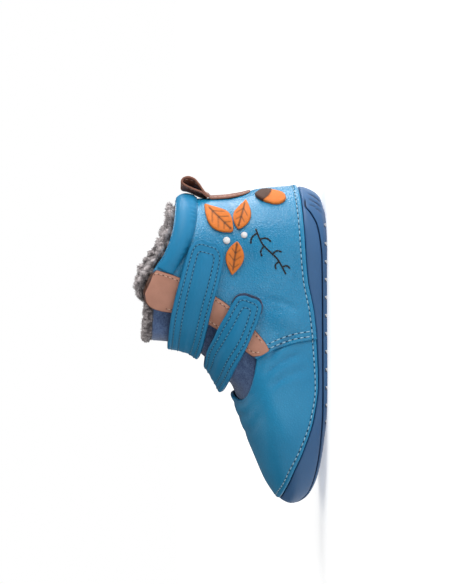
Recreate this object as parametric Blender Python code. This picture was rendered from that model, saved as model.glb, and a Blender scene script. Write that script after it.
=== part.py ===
"""A toddler's barefoot winter boot for the left foot, standing empty on its sole.

The toe points to -X, the outer side of the foot to -Y, and +Z is up. Tables are in millimetres.
A station runs along the foot from the back of the heel, a height from the ground.
Every piece is laid on one form, a stack of closed rings, by two numbers:
turn goes round a ring, 0 at the back of the heel and 1 at the toe, positive on the outer side,
and level goes up the stack, from 0 at the ground to 12 at the collar.
"""
import bmesh
import bpy
import numpy as np

MM = 0.001
CENTRE_STATION = 73.4
CENTRE_SIDE = 0.5
MERGE = 0.00002
NUDGE = 0.0005
GAP = 0.3

# The form: one row a ring, from the ground up
RING_COLUMNS = ("back", "back_up", "front", "front_up", "rear_out", "mid_out", "fore_out",
                "rear_in", "mid_in", "fore_in", "heel_round", "toe_round")
RINGS = (
    (11.0, 0.0, 120.0, 0.0, 21.5, 24.5, 28.0, 21.5, 21.0, 27.5, 0.20, 0.26),
    (5.0, 2.6, 141.0, 4.0, 24.0, 27.0, 31.0, 24.0, 23.5, 30.3, 0.20, 0.27),
    (2.0, 6.5, 149.5, 9.0, 25.2, 28.2, 32.2, 25.0, 24.8, 31.5, 0.20, 0.28),
    (0.6, 11.5, 152.0, 14.5, 25.8, 28.6, 32.8, 25.5, 25.4, 32.0, 0.20, 0.29),
    (1.3, 17.5, 150.0, 20.0, 25.9, 28.6, 32.6, 25.6, 25.7, 31.8, 0.20, 0.30),
    (1.8, 24.0, 142.0, 26.3, 25.6, 28.1, 31.4, 25.3, 25.6, 30.8, 0.21, 0.33),
    (2.6, 31.0, 128.0, 32.5, 25.0, 27.2, 28.8, 24.8, 25.3, 28.6, 0.22, 0.37),
    (4.9, 38.0, 110.0, 39.5, 24.3, 26.2, 26.5, 24.1, 25.0, 26.5, 0.25, 0.40),
    (6.4, 45.0, 92.0, 46.5, 23.6, 25.3, 25.0, 23.4, 24.7, 24.8, 0.28, 0.42),
    (6.8, 52.0, 79.5, 55.0, 23.2, 24.8, 23.6, 23.0, 24.4, 23.5, 0.31, 0.43),
    (7.1, 59.0, 73.0, 65.5, 23.2, 24.7, 23.0, 23.0, 24.3, 23.0, 0.34, 0.44),
    (7.5, 65.0, 71.0, 79.0, 23.7, 25.1, 23.0, 23.5, 24.7, 23.0, 0.36, 0.45),
    (8.0, 70.0, 70.5, 95.0, 24.4, 25.8, 23.5, 24.2, 25.4, 23.5, 0.38, 0.46),
)
TOP_RING = len(RINGS) - 1
REAR_WIDTH_AT = 0.20
MID_WIDTH_AT = 0.50
FORE_WIDTH_AT = 0.76
HEEL_POWER = 2.1
TOE_POWER = 2.3
TOE_LEAN = 4.0
LEAN_START = 70.0
LEAN_RUN = 82.0

# Lines on the form, as station and height
EDGE_LINE = ((0, 13), (25, 10.7), (42, 9.3), (56, 6.6), (70, 5.2), (90, 4.5), (105, 6.5), (120, 11),
             (133, 16), (145, 20), (152, 21.5))
GROOVE_LINE = ((1, 12.4), (6.3, 11.8), (11.6, 7.2), (16.6, 4.7), (22.6, 3.5), (31.5, 2.6), (58.6, 2.2),
               (100, 2.2), (120, 3.2), (141, 6.4), (150, 11.5), (152, 15.5))
COLLAR_LINE = ((8, 70), (12, 70.2), (16, 70.8), (21, 72), (28.3, 75), (35, 79.3), (41, 83), (47, 85.3))
SEAM_LINE = ((69, 5.2), (70.5, 15), (73.5, 24), (78, 33))
THROAT_LINE = ((78, 33), (71.5, 41.5), (64.5, 50), (57.5, 66), (55.6, 77.8), (53.8, 82.5), (50.6, 84.7),
               (47, 85.3))
SPRING_LINE = ((0, 0), (120, 0), (141, 4), (149.5, 9), (152, 14.5))
THROAT_FOOT_LEVEL = 7.6
GROOVE_UNDER_EDGE = 0.35
SPOT_STEPS = 40

# Offsets from the form, outwards
TREAD_OUT = 0.4
GROOVE_OUT = -0.6
GROOVE_HALF = 0.07
VAMP_OUT = 0.5
QUARTER_OUT = 1.4
WALL_IN = -1.0
LIP_OUT = WALL_IN - 0.5
LIP_IN = -2.9
LIP_RISE = 0.75
OVERLAY_IN = QUARTER_OUT + GAP
OVERLAY_OUT = OVERLAY_IN + 1.2
STRAP_IN = OVERLAY_OUT + 0.5
STRAP_OUT = STRAP_IN + 2.2
SEAM_STEP = 0.5
SEAM_LIFT = 1.0

# The upper's lattice
QUARTER_COLUMNS = 11
VAMP_COLUMNS = 10
LOW_ROWS = (0, 0.1, 0.28, 0.52, 0.76, 1)
HIGH_ROWS = (0.1, 0.2, 0.3, 0.41, 0.53, 0.65, 0.75, 0.84, 0.92, 1)

# The sole and the insole
FLOOR_HEIGHT = 4.2
INSOLE_THICK = 3.0
INSOLE_OUT = LIP_IN - 2.4
TREAD_PITCH = 8.3
TREAD_WIDTH = 1.8
TREAD_DEPTH = 1.25
TREAD_FIRST = 17.0
TREAD_COUNT = 15
CUTTER_HALF_WIDTH = 45.0
TREAD_ROWS = (0.35, 0.75)
SIDE_ROWS = (0, 0.35, 0.7, 1)

# The tongue
TONGUE_TUCK = 0.05
TONGUE_THICK = 4.2
TONGUE_UNDER = WALL_IN - 0.8
TONGUE_CROWN = 1.8
TONGUE_FOOT = 0.9
TONGUE_TOP_MID = 11.2
TONGUE_TOP_EDGE = 11.5
TONGUE_RISE_START = 0.15
TONGUE_RISE = 0.8
TONGUE_ROWS = 11
TONGUE_COLUMNS = 15
THROAT_STEPS = 20

# The collar cuff, and the slanted end where a facing takes over from it
CUFF_TALL = 10.2
CUFF_BULGE = 2.1
CUFF_ROUND = 0.8
CUFF_END_FLAT = 0.6
CUFF_END_POWER = 8
CUFF_TOP_GAP = 0.08
CUFF_HEM = 0.5
CUFF_END = ((38.9, 68.2), (35.4, 79.8))
CUFF_ROWS = 7
CUFF_COLUMNS = 29

# The fur along the collar and along the tongue: half thickness, half height, how it sits and how it leans out
FUR_OUT = -4.8
FUR_HALF_ACROSS = 3.0
FUR_HALF_TALL = 3.8
FUR_LIFT = 0.6
FUR_LEAN = 3.0
FUR_END_STATION = 47.0
FUR_END_HEIGHT = 85.2
FUR_COLLAR_ROWS = 73
FUR_TONGUE_HALF_ACROSS = 2.4
FUR_TONGUE_HALF_TALL = 2.0
FUR_TONGUE_LIFT = 2.4
FUR_TONGUE_LEAN = 0.0
FUR_TONGUE_ROWS = 35

# The locks of the fur: how far they stand out, how they follow each other along and round the roll
LOCK_RISE = 0.9
LOCK_TWISTS = ((2.4, 2), (1.7, -1))
LOCK_FREE = 0.4
FUR_SIDES = 12
FUR_END_POWER = 6

# A facing: back edge and throat edge, from its foot to its top
FACING_COLUMNS = ("back_station", "back_height", "front_station", "front_height")
FACING = (
    (73.6, 27.0, 74.4, 27.6),
    (70.0, 29.0, 76.3, 31.0),
    (66.0, 32.2, 76.6, 33.9),
    (60.5, 37.5, 72.4, 39.6),
    (51.5, 47.5, 64.0, 50.2),
    (44.0, 60.0, 57.2, 65.4),
    (39.0, 71.0, 55.2, 77.4),
    (37.2, 76.6, 53.2, 82.0),
    (36.6, 79.0, 50.2, 84.0),
    (38.4, 80.8, 46.6, 84.6),
)
FACING_ROWS = 19
FACING_COUNT_ACROSS = 4

# The straps: one row a place on the way from the fixed end to the tip, inner side negative
STRAP_COLUMNS = ("station", "height", "side", "width")
STRAP_UPPER = (
    (38.0, 58.0, -1, 17.0),
    (48.0, 60.0, -1, 18.0),
    (60.0, 62.4, -1, 18.0),
    (74.4, 64.3, 1, 17.4),
    (62.0, 63.0, 1, 18.2),
    (50.0, 61.0, 1, 18.4),
    (38.0, 58.3, 1, 18.2),
    (24.5, 54.9, 1, 17.0),
)
STRAP_LOWER = (
    (56.0, 37.5, -1, 16.0),
    (66.0, 41.0, -1, 17.0),
    (78.0, 45.6, -1, 17.0),
    (88.0, 48.6, 1, 16.4),
    (78.0, 46.4, 1, 16.4),
    (68.0, 42.4, 1, 15.6),
    (58.0, 38.6, 1, 14.4),
    (49.5, 35.2, 1, 12.4),
)
STRAP_ROUND = 6.0
STRAP_SPACING = 3.8
STRAP_COUNT_ACROSS = 5
TIP_ROWS = (0.08, 0.3, 0.6)

# The loop tapes: how far each shows past its strap's tip and sides, and its length
TAPE_COLUMNS = ("past_tip", "past_side", "length")
TAPE_UPPER = (-1.2, -1.2, 15.8)
TAPE_LOWER = (1.0, 0.5, 7.5)
TAPE_ROWS = 5
TAPE_COUNT_ACROSS = 4

# The pull loop: its middle line round the loop, how closely it hugs the heel, and its inner edge, folded flat
LOOP_FOOT_HEIGHT = 34.0
LOOP_START_HEIGHT = 53.0
LOOP_COLUMNS = ("station", "height", "hug", "inner_station")
LOOP_LINE = (
    (3.4, 54.8, 0.9, 3.4),
    (2.1, 56.3, 0.7, 2.8),
    (-2.0, 59.2, 0.3, 1.7),
    (-4.2, 61.4, 0.1, 1.2),
    (-5.0, 64.0, 0.0, 0.8),
    (-4.4, 66.1, 0.0, 0.7),
    (-3.0, 67.0, 0.0, 1.5),
    (-1.6, 66.1, 0.0, 2.3),
    (-0.2, 65.0, 0.2, 2.2),
    (1.4, 62.6, 0.5, 2.4),
    (2.5, 60.0, 0.7, 2.9),
    (3.3, 57.8, 0.7, 3.6),
    (4.0, 56.8, 0.8, 4.0),
    (4.6, 55.9, 0.9, 4.4),
)
LOOP_THICK = 1.0
LOOP_WIDTH = 11.0
LOOP_SAG = 0.65
LOOP_HUG_ROWS = 4
LOOP_ROUND_ROWS = 30
LOOP_COUNT_ACROSS = 5

# The sewn motifs on the outer quarter: foot, tip and greatest width of each leaf
LEAF_COLUMNS = ("foot_station", "foot_height", "tip_station", "tip_height", "width")
LEAVES = (
    (19.8, 43.8, 9.6, 56.2, 10.5),
    (18.8, 41.2, 7.4, 36.6, 8.5),
    (24.2, 41.6, 39.0, 44.2, 8.5),
)
LEAF_BLUNT = 0.08
LEAF_SKEW = 0.9
ACORN = ((4.2, 31.0), (6.5, 19.0))
ACORN_WIDTH = 9.0
ACORN_BELLY = 0.9
ACORN_POWER = 2.4
ACORN_BLUNT = 0.04
MOTIF_ROWS = 9
MOTIF_COUNT_ACROSS = 4

# Colours of the materials, as linear red, green and blue, with roughness
BLUE_LEATHER = (0.022, 0.19, 0.36, 0.45)
RUBBER = (0.05, 0.14, 0.30, 0.65)
TAN_LEATHER = (0.50, 0.27, 0.19, 0.55)
NAVY_FELT = (0.05, 0.09, 0.20, 0.95)
NAVY_TAPE = (0.02, 0.035, 0.09, 0.9)
BROWN_LEATHER = (0.11, 0.045, 0.03, 0.6)
GREY_FUR = (0.19, 0.16, 0.155, 1.0)
ORANGE_CLOTH = (0.72, 0.19, 0.03, 0.7)
CREAM_FOAM = (0.45, 0.40, 0.34, 0.9)


def hermite(share, start, end, start_slope, end_slope):
    """A cubic from start to end as share goes from 0 to 1."""
    rest = 1 - share
    ends = start * rest * rest * (1 + 2 * share) + end * share * share * (1 + 2 * rest)
    return ends + share * rest * (rest * start_slope - share * end_slope)


def smooth(knots, values, at):
    """A curve through the knots that never swings past a high or a low."""
    knots = np.asarray(knots, float)
    values = np.asarray(values, float)
    spans = np.diff(knots)
    rises = np.diff(values) / spans
    both = rises[:-1] * rises[1:]
    total = rises[:-1] + rises[1:]
    slopes = np.concatenate((rises[:1], np.zeros(len(both)), rises[-1:]))
    slopes[1:-1][both > 0] = 2 * both[both > 0] / total[both > 0]
    at = np.clip(at, knots[0], knots[-1])
    piece = np.clip(np.searchsorted(knots, at) - 1, 0, len(spans) - 1)
    share = (at - knots[piece]) / spans[piece]
    starts = slopes[piece] * spans[piece]
    ends = slopes[piece + 1] * spans[piece]
    return hermite(share, values[piece], values[piece + 1], starts, ends)


def ease(share):
    """A soft step from 0 to 1."""
    return hermite(np.clip(share, 0, 1), 0, 1, 0, 0)


def column(table, names, name):
    """One named column of a table."""
    return np.array([row[names.index(name)] for row in table], float)


def ring_value(name, level):
    """A column of the ring table at any level."""
    return smooth(np.arange(len(RINGS)), column(RINGS, RING_COLUMNS, name), level)


def half_width(along, rear, middle, fore):
    """Half the ring's width, from its three widths along the foot."""
    slope = (fore - rear) / (FORE_WIDTH_AT - REAR_WIDTH_AT)
    rear_span = MID_WIDTH_AT - REAR_WIDTH_AT
    fore_span = FORE_WIDTH_AT - MID_WIDTH_AT
    rear_share = np.clip((along - REAR_WIDTH_AT) / rear_span, 0, 1)
    fore_share = np.clip((along - MID_WIDTH_AT) / fore_span, 0, 1)
    rear_part = hermite(rear_share, rear, middle, 0, slope * rear_span)
    fore_part = hermite(fore_share, middle, fore, slope * fore_span, 0)
    return np.where(along < MID_WIDTH_AT, rear_part, fore_part)


def rounding(share, power):
    """How the width grows from nothing at the end of a ring."""
    rest = np.clip(1 - share, 0, 1)
    return (1 - rest ** power) ** (1 / power)


def lean(station):
    """How far the middle line leans to the inner side towards the toe."""
    return TOE_LEAN * np.clip((station - LEAN_START) / LEAN_RUN, 0, None) ** 2


def place(station, side, height):
    """World points from stations, sides and heights."""
    station, side, height = np.broadcast_arrays(station, side, height)
    return np.stack((CENTRE_STATION - station, side - CENTRE_SIDE, height), -1) * MM


def ring_point(turn, level):
    """Points of the bare form."""
    turn, level = np.broadcast_arrays(np.asarray(turn, float), np.asarray(level, float))
    turn = (turn + 1) % 2 - 1
    ring = {name: ring_value(name, level) for name in RING_COLUMNS}
    along = (1 - np.cos(np.pi * turn)) / 2
    station = ring["back"] + along * (ring["front"] - ring["back"])
    height = ring["back_up"] + along * (ring["front_up"] - ring["back_up"])
    outer = half_width(along, ring["rear_out"], ring["mid_out"], ring["fore_out"])
    inner = half_width(along, ring["rear_in"], ring["mid_in"], ring["fore_in"])
    ends = rounding(along / ring["heel_round"], HEEL_POWER)
    ends = ends * rounding((1 - along) / ring["toe_round"], TOE_POWER)
    side = lean(station) - np.sign(turn) * ends * np.where(turn > 0, outer, inner)
    return place(station, side, height)


def form_slopes(turn, level):
    """How a point of the form moves with turn and with level."""
    by_turn = ring_point(turn + NUDGE, level) - ring_point(turn - NUDGE, level)
    above = np.minimum(level + NUDGE, TOP_RING)
    below = np.maximum(level - NUDGE, 0)
    by_level = ring_point(turn, above) - ring_point(turn, below)
    return by_turn / (2 * NUDGE), by_level / (above - below)[..., None]


def form(turn, level, out):
    """Points at a distance out from the form."""
    turn, level, out = np.broadcast_arrays(np.asarray(turn, float), np.asarray(level, float), out)
    by_turn, by_level = form_slopes(turn, level)
    normal = np.cross(by_level, by_turn)
    normal = normal / np.linalg.norm(normal, axis=-1, keepdims=True)
    return ring_point(turn, level) + normal * out[..., None] * MM


def spot(station, height, side=1):
    """The turn and level of the form's point with this station and height."""
    station, height = np.broadcast_arrays(np.asarray(station, float), np.asarray(height, float))
    low = np.zeros(station.shape)
    high = np.full(station.shape, float(TOP_RING))
    for _ in range(SPOT_STEPS):
        level = (low + high) / 2
        back = ring_value("back", level)
        along = np.clip((station - back) / (ring_value("front", level) - back), 0, 1)
        back_up = ring_value("back_up", level)
        lift = back_up + along * (ring_value("front_up", level) - back_up)
        low = np.where(lift < height, level, low)
        high = np.where(lift < height, high, level)
    return side * np.arccos(1 - 2 * along) / np.pi, level


def line_level(line, turn):
    """The level of a line on the form, at a turn."""
    turns, levels = spot(*np.transpose(line))
    return smooth(turns, levels, np.abs(turn))


def edge_level(turn):
    """The lower edge of the leather."""
    return line_level(EDGE_LINE, turn)


def groove_level(turn):
    """The parting groove round the sole, which runs out under the leather at the heel."""
    return np.minimum(line_level(GROOVE_LINE, turn), edge_level(turn) - GROOVE_UNDER_EDGE)


def collar_level(turn):
    """The upper edge of the quarter."""
    return line_level(COLLAR_LINE, turn)


def throat_foot_level(turn):
    """The line from the foot of the throat, back along the quarter and forward over the vamp."""
    corner_turn, corner_level = spot(*SEAM_LINE[-1])
    share = np.clip((np.abs(turn) - corner_turn) / (1 - corner_turn), 0, 1)
    return hermite(share, corner_level, THROAT_FOOT_LEVEL, SEAM_LIFT, 0)


def boundary(line, shares):
    """Points along a line on the form, spread by its own length."""
    stations, heights = np.transpose(line)
    lengths = np.concatenate(([0], np.cumsum(np.hypot(np.diff(stations), np.diff(heights)))))
    at = np.asarray(shares) * lengths[-1]
    return spot(smooth(lengths, stations, at), smooth(lengths, heights, at))


def upper_lattice():
    """Turns, levels and outward offsets of the upper, row by row from its lower edge."""
    low_turns, low_levels = boundary(SEAM_LINE, LOW_ROWS)
    high_turns, high_levels = boundary(THROAT_LINE, HIGH_ROWS)
    fronts = np.concatenate((low_turns, high_turns))
    front_levels = np.concatenate((low_levels, high_levels))
    quarter = np.linspace(0, 1, QUARTER_COLUMNS + 1)
    vamp = np.linspace(0, 1, VAMP_COLUMNS + 1)
    turns = []
    levels = []
    for row, (front, front_level) in enumerate(zip(fronts, front_levels)):
        step = SEAM_STEP * MM / np.linalg.norm(form_slopes(np.array(front), np.array(front_level))[0])
        half = np.concatenate((front * quarter, front + step + (1 - front - step) * vamp))
        turn = np.concatenate((-half[:0:-1], half))
        foot = throat_foot_level(turn)
        below, above = (edge_level(turn), foot) if row < len(LOW_ROWS) else (foot, collar_level(turn))
        heel_column = len(half) - 1
        low = np.interp(front, half, below[heel_column:])
        high = np.interp(front, half, above[heel_column:])
        share = (front_level - low) / (high - low)
        turns.append(turn)
        levels.append(below + np.clip(share, 0, 1) * (above - below))
    half_out = np.concatenate((np.full(len(quarter), QUARTER_OUT), np.full(len(vamp), VAMP_OUT)))
    outs = np.concatenate((half_out[:0:-1], half_out))
    return np.array(turns), np.array(levels), outs


def lattice_between(table, names, rows, columns, side):
    """Turns and levels between the back edge and the front edge of a panel."""
    at = np.linspace(0, len(table) - 1, rows)
    knots = np.arange(len(table))
    edges = {name: smooth(knots, column(table, names, name), at)[:, None] for name in names}
    share = np.linspace(0, 1, columns)
    station = edges["back_station"] + (edges["front_station"] - edges["back_station"]) * share
    height = edges["back_height"] + (edges["front_height"] - edges["back_height"]) * share
    return spot(station, height, side)


def strip_lattice(turns, levels, across):
    """Turns and levels of a strip along a path, stepped sideways by the distances in across."""
    by_turn, by_level = form_slopes(turns, levels)
    ahead = by_turn * np.gradient(turns)[:, None] + by_level * np.gradient(levels)[:, None]
    normal = np.cross(by_level, by_turn)
    aside = np.cross(normal, ahead)
    aside = aside / np.linalg.norm(aside, axis=1, keepdims=True)
    turn_turn = np.sum(by_turn * by_turn, 1)
    turn_level = np.sum(by_turn * by_level, 1)
    level_level = np.sum(by_level * by_level, 1)
    aside_turn = np.sum(aside * by_turn, 1)
    aside_level = np.sum(aside * by_level, 1)
    area = turn_turn * level_level - turn_level ** 2
    turn_step = (aside_turn * level_level - aside_level * turn_level) / area * MM
    level_step = (aside_level * turn_turn - aside_turn * turn_level) / area * MM
    return turns[:, None] + turn_step[:, None] * across, levels[:, None] + level_step[:, None] * across


def path_on_form(table, names):
    """Turns, levels and lengths of a path that may cross the front of the boot."""
    turns, levels = spot(column(table, names, "station"), column(table, names, "height"))
    turns = np.where(column(table, names, "side") < 0, 2 - turns, turns)
    points = ring_point(turns, levels)
    steps = np.linalg.norm(np.diff(points, axis=0), axis=1) / MM
    return turns, levels, np.concatenate(([0], np.cumsum(steps)))


def grid_sheet(points, under=None):
    """A sheet of quads through a lattice of points, each holding its point of the far side."""
    rows, columns = points.shape[:2]
    sheet = bmesh.new()
    far_side = sheet.verts.layers.float_vector.new("far_side")
    bmesh.ops.create_grid(sheet, x_segments=columns - 1, y_segments=rows - 1, size=1)
    far = points if under is None else under
    for vertex, near_point, far_point in zip(sheet.verts, points.reshape(-1, 3), far.reshape(-1, 3)):
        vertex.co = near_point
        vertex[far_side] = far_point
    return sheet, far_side


def closed_wall(points, under, gone=()):
    """A solid wall between two lattices, without the quads whose numbers are in gone."""
    sheet, far_side = grid_sheet(points, under)
    sheet.faces.ensure_lookup_table()
    bmesh.ops.delete(sheet, geom=[sheet.faces[number] for number in gone], context="FACES")
    bmesh.ops.remove_doubles(sheet, verts=sheet.verts, dist=MERGE)
    copied = bmesh.ops.extrude_face_region(sheet, geom=sheet.faces[:])
    for item in copied["geom"]:
        if isinstance(item, bmesh.types.BMVert):
            item.co = item[far_side]
    return sheet


def closed_loft(points):
    """A solid whose lattice closes on itself."""
    sheet, _ = grid_sheet(points)
    bmesh.ops.remove_doubles(sheet, verts=sheet.verts, dist=MERGE)
    return sheet


def material(name, look):
    """A plain material of one colour and roughness."""
    finish = bpy.data.materials.get(name)
    if finish is None:
        finish = bpy.data.materials.new(name)
        finish.use_nodes = True
        shader = finish.node_tree.nodes["Principled BSDF"]
        shader.inputs["Base Color"].default_value = (*look[:3], 1)
        shader.inputs["Roughness"].default_value = look[3]
    return finish


def piece(name, sheet, finish, collection):
    """An object of the boot from a finished mesh."""
    bmesh.ops.recalc_face_normals(sheet, faces=sheet.faces)
    mesh = bpy.data.meshes.new(name)
    sheet.to_mesh(mesh)
    sheet.free()
    mesh.shade_smooth()
    mesh.materials.append(finish)
    thing = bpy.data.objects.new(name, mesh)
    collection.objects.link(thing)
    return thing


def middle_row(points):
    """The points of a ring drawn in to the middle line, halfway between its two sides."""
    row = (points + points[::-1]) / 2
    station = CENTRE_STATION - row[:, 0] / MM
    row[:, 1] = (lean(station) - CENTRE_SIDE) * MM
    return row


def spring(points):
    """How far the underside has risen at each point's station."""
    return smooth(*np.transpose(SPRING_LINE), CENTRE_STATION - points[:, 0] / MM) * MM


def floor_ring(turn, out):
    """The outline of the floor inside the cup, at the floor's own height."""
    floor_line = [(station, rise + FLOOR_HEIGHT) for station, rise in SPRING_LINE]
    points = form(turn, line_level(floor_line, turn), out)
    points[:, 2] = FLOOR_HEIGHT * MM + spring(points)
    return points


def tread_cutter(collection):
    """The cross grooves of the tread, as one cutter."""
    cutter = bmesh.new()
    for number in range(TREAD_COUNT):
        station = TREAD_FIRST + number * TREAD_PITCH
        rise = smooth(*np.transpose(SPRING_LINE), station)
        bar = bmesh.ops.create_cube(cutter, size=1)["verts"]
        sizes = np.array((TREAD_WIDTH, 2 * CUTTER_HALF_WIDTH, 2 * TREAD_DEPTH)) * MM
        bmesh.ops.scale(cutter, verts=bar, vec=sizes)
        bmesh.ops.translate(cutter, verts=bar, vec=place(station, 0, rise))
    thing = piece("tread_cutter", cutter, material("rubber", RUBBER), collection)
    thing.display_type = "WIRE"
    thing.hide_render = True
    return thing


def make_sole(turn, boot, cutters):
    """The cup sole: underside, stepped side, rim, lip behind the leather and the floor inside."""
    groove = groove_level(turn)
    rim = edge_level(turn) - GROOVE_HALF
    ground = form(turn, 0, 0)
    rows = [middle_row(ground), ground]
    for share in TREAD_ROWS:
        rows.append(form(turn, groove * share, TREAD_OUT))
    rows.append(form(turn, groove - GROOVE_HALF, TREAD_OUT))
    rows.append(form(turn, groove - GROOVE_HALF, GROOVE_OUT))
    rows.append(form(turn, groove + GROOVE_HALF, GROOVE_OUT))
    for share in SIDE_ROWS:
        rows.append(form(turn, groove + GROOVE_HALF + share * (rim - groove - GROOVE_HALF), 0))
    rows.append(form(turn, rim, LIP_OUT))
    rows.append(form(turn, rim + LIP_RISE, LIP_OUT))
    rows.append(form(turn, rim + LIP_RISE, LIP_IN))
    floor = floor_ring(turn, LIP_IN)
    rows.append(floor)
    rows.append(middle_row(floor))
    sole = piece("sole", closed_loft(np.array(rows)), material("rubber", RUBBER), boot)
    cut = sole.modifiers.new("tread", "BOOLEAN")
    cut.operation = "DIFFERENCE"
    cut.object = tread_cutter(cutters)
    return sole


def make_insole(turn, boot):
    """The foot bed that lies on the floor of the cup."""
    lower = floor_ring(turn, INSOLE_OUT)
    lower[:, 2] += GAP * MM
    upper = lower.copy()
    upper[:, 2] += INSOLE_THICK * MM
    rows = (middle_row(lower), lower, upper, middle_row(upper))
    return piece("insole", closed_loft(np.array(rows)), material("foot bed", CREAM_FOAM), boot)


def make_upper(boot):
    """The hollow leather wall: both quarters, lapped over the vamp, open at collar, throat and below."""
    turns, levels, outs = upper_lattice()
    columns = turns.shape[1] - 1
    vamp_side = VAMP_COLUMNS + 1
    gone = []
    for row in range(len(LOW_ROWS) - 1, len(turns) - 1):
        gone += range(row * columns, row * columns + vamp_side)
        gone += range((row + 1) * columns - vamp_side, (row + 1) * columns)
    sheet = closed_wall(form(turns, levels, outs), form(turns, levels, WALL_IN), gone)
    return piece("upper", sheet, material("blue leather", BLUE_LEATHER), boot)


def throat_turn(level):
    """The turn of the throat's edge at a level, held at its ends."""
    turns, levels = boundary(THROAT_LINE[:-2], np.linspace(0, 1, THROAT_STEPS))
    return np.interp(level, levels, turns)


def tongue_lattice(rows, columns):
    """Turns, levels and how far each point lies under the throat's edge, 0 there and 1 at the middle."""
    share = np.linspace(-1, 1, columns)
    corner_turn, _ = spot(*SEAM_LINE[-1])
    tops = TONGUE_TOP_MID + (TONGUE_TOP_EDGE - TONGUE_TOP_MID) * share ** 2
    feet = throat_foot_level(1 - np.abs(share) * (1 - corner_turn)) - TONGUE_FOOT
    level = feet + (tops - feet) * np.linspace(0, 1, rows)[:, None]
    reach = 1 - throat_turn(level) + TONGUE_TUCK
    inside = np.clip((1 - np.abs(share)) * reach - TONGUE_TUCK, 0, None) / (reach - TONGUE_TUCK)
    return 1 + share * reach, level, inside


def tongue_out(turn, level, inside):
    """How far the face of the tongue stands from the form: low under the leather, crowned in the open."""
    above = (level - throat_foot_level(1 - np.abs(1 - turn)) - TONGUE_RISE_START) / TONGUE_RISE
    crown = ease(inside * 2) * ease(above)
    return TONGUE_UNDER + (TONGUE_CROWN - TONGUE_UNDER) * crown


def make_tongue(boot):
    """The padded tongue that fills the throat, its edges under the quarters."""
    turns, levels, inside = tongue_lattice(TONGUE_ROWS, TONGUE_COLUMNS)
    face = tongue_out(turns, levels, inside)
    sheet = closed_wall(form(turns, levels, face), form(turns, levels, face - TONGUE_THICK))
    return piece("tongue", sheet, material("navy felt", NAVY_FELT), boot)


def make_cuff(boot):
    """The padded roll round the collar, from facing to facing."""
    share = np.linspace(0, 1, CUFF_ROWS)[:, None]
    end_turn, _ = spot(*np.transpose(CUFF_END[0] + np.subtract(*CUFF_END[::-1]) * share))
    across = np.linspace(-1, 1, CUFF_COLUMNS)
    turn = end_turn[:, None] * across
    foot = line_level([(station, height - CUFF_TALL) for station, height in COLLAR_LINE], turn)
    level = foot + (collar_level(turn) - CUFF_TOP_GAP - foot) * share
    bulge = CUFF_BULGE * (1 - CUFF_END_FLAT * across ** CUFF_END_POWER)
    outs = OVERLAY_IN + CUFF_HEM + bulge * np.sin(np.pi * share) ** CUFF_ROUND
    sheet = closed_wall(form(turn, level, outs), form(turn, level, OVERLAY_IN))
    return piece("collar_cuff", sheet, material("blue leather", BLUE_LEATHER), boot)


def make_facing(name, side, boot):
    """The tan band along one edge of the throat."""
    turns, levels = lattice_between(FACING, FACING_COLUMNS, FACING_ROWS, FACING_COUNT_ACROSS, side)
    sheet = closed_wall(form(turns, levels, OVERLAY_OUT), form(turns, levels, OVERLAY_IN))
    return piece(name, sheet, material("tan leather", TAN_LEATHER), boot)


def corner_cut(before_end, radius):
    """How far a strip's side has drawn in towards a rounded end, at a distance before that end."""
    share = np.clip(1 - before_end / radius, 0, 1)
    return radius * (1 - np.sqrt(1 - share ** 2))


def strap_lattice(table, columns, spacing):
    """Turns and levels of a strap, rounded at its tip."""
    turns, levels, lengths = path_on_form(table, STRAP_COLUMNS)
    at = np.linspace(0, lengths[-1], int(lengths[-1] / spacing))
    at = np.unique(np.concatenate((at, lengths[-1] - STRAP_ROUND * np.array(TIP_ROWS))))
    half = smooth(lengths, column(table, STRAP_COLUMNS, "width"), at) / 2
    half = half - corner_cut(lengths[-1] - at, STRAP_ROUND)
    across = half[:, None] * np.linspace(-1, 1, columns)
    return strip_lattice(smooth(lengths, turns, at), smooth(lengths, levels, at), across)


def make_strap(name, table, boot):
    """A strap over the tongue, from the inner quarter to its tip on the outer quarter."""
    turns, levels = strap_lattice(table, STRAP_COUNT_ACROSS, STRAP_SPACING)
    sheet = closed_wall(form(turns, levels, STRAP_OUT), form(turns, levels, STRAP_IN))
    return piece(name, sheet, material("blue leather", BLUE_LEATHER), boot)


def make_tape(name, table, tape, boot):
    """The loop tape on the quarter under a strap's tip, rounded as the tip is."""
    sizes = dict(zip(TAPE_COLUMNS, tape))
    turns, levels, lengths = path_on_form(table, STRAP_COLUMNS)
    radius = STRAP_ROUND + sizes["past_side"]
    straight = np.linspace(sizes["length"], radius, TAPE_ROWS)
    before_end = np.concatenate((straight, radius * np.array(TIP_ROWS[::-1]), (0,)))
    at = lengths[-1] + sizes["past_tip"] - before_end
    past = np.clip(at - lengths[-1], 0, None) / (lengths[-1] - lengths[-2])
    turn = smooth(lengths, turns, at) + (turns[-1] - turns[-2]) * past
    level = smooth(lengths, levels, at) + (levels[-1] - levels[-2]) * past
    half = smooth(lengths, column(table, STRAP_COLUMNS, "width"), at) / 2 + sizes["past_side"]
    half = half - corner_cut(before_end, radius)
    turns, levels = strip_lattice(turn, level, half[:, None] * np.linspace(-1, 1, TAPE_COUNT_ACROSS))
    sheet = closed_wall(form(turns, levels, OVERLAY_OUT), form(turns, levels, OVERLAY_IN))
    return piece(name, sheet, material("navy tape", NAVY_TAPE), boot)


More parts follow.
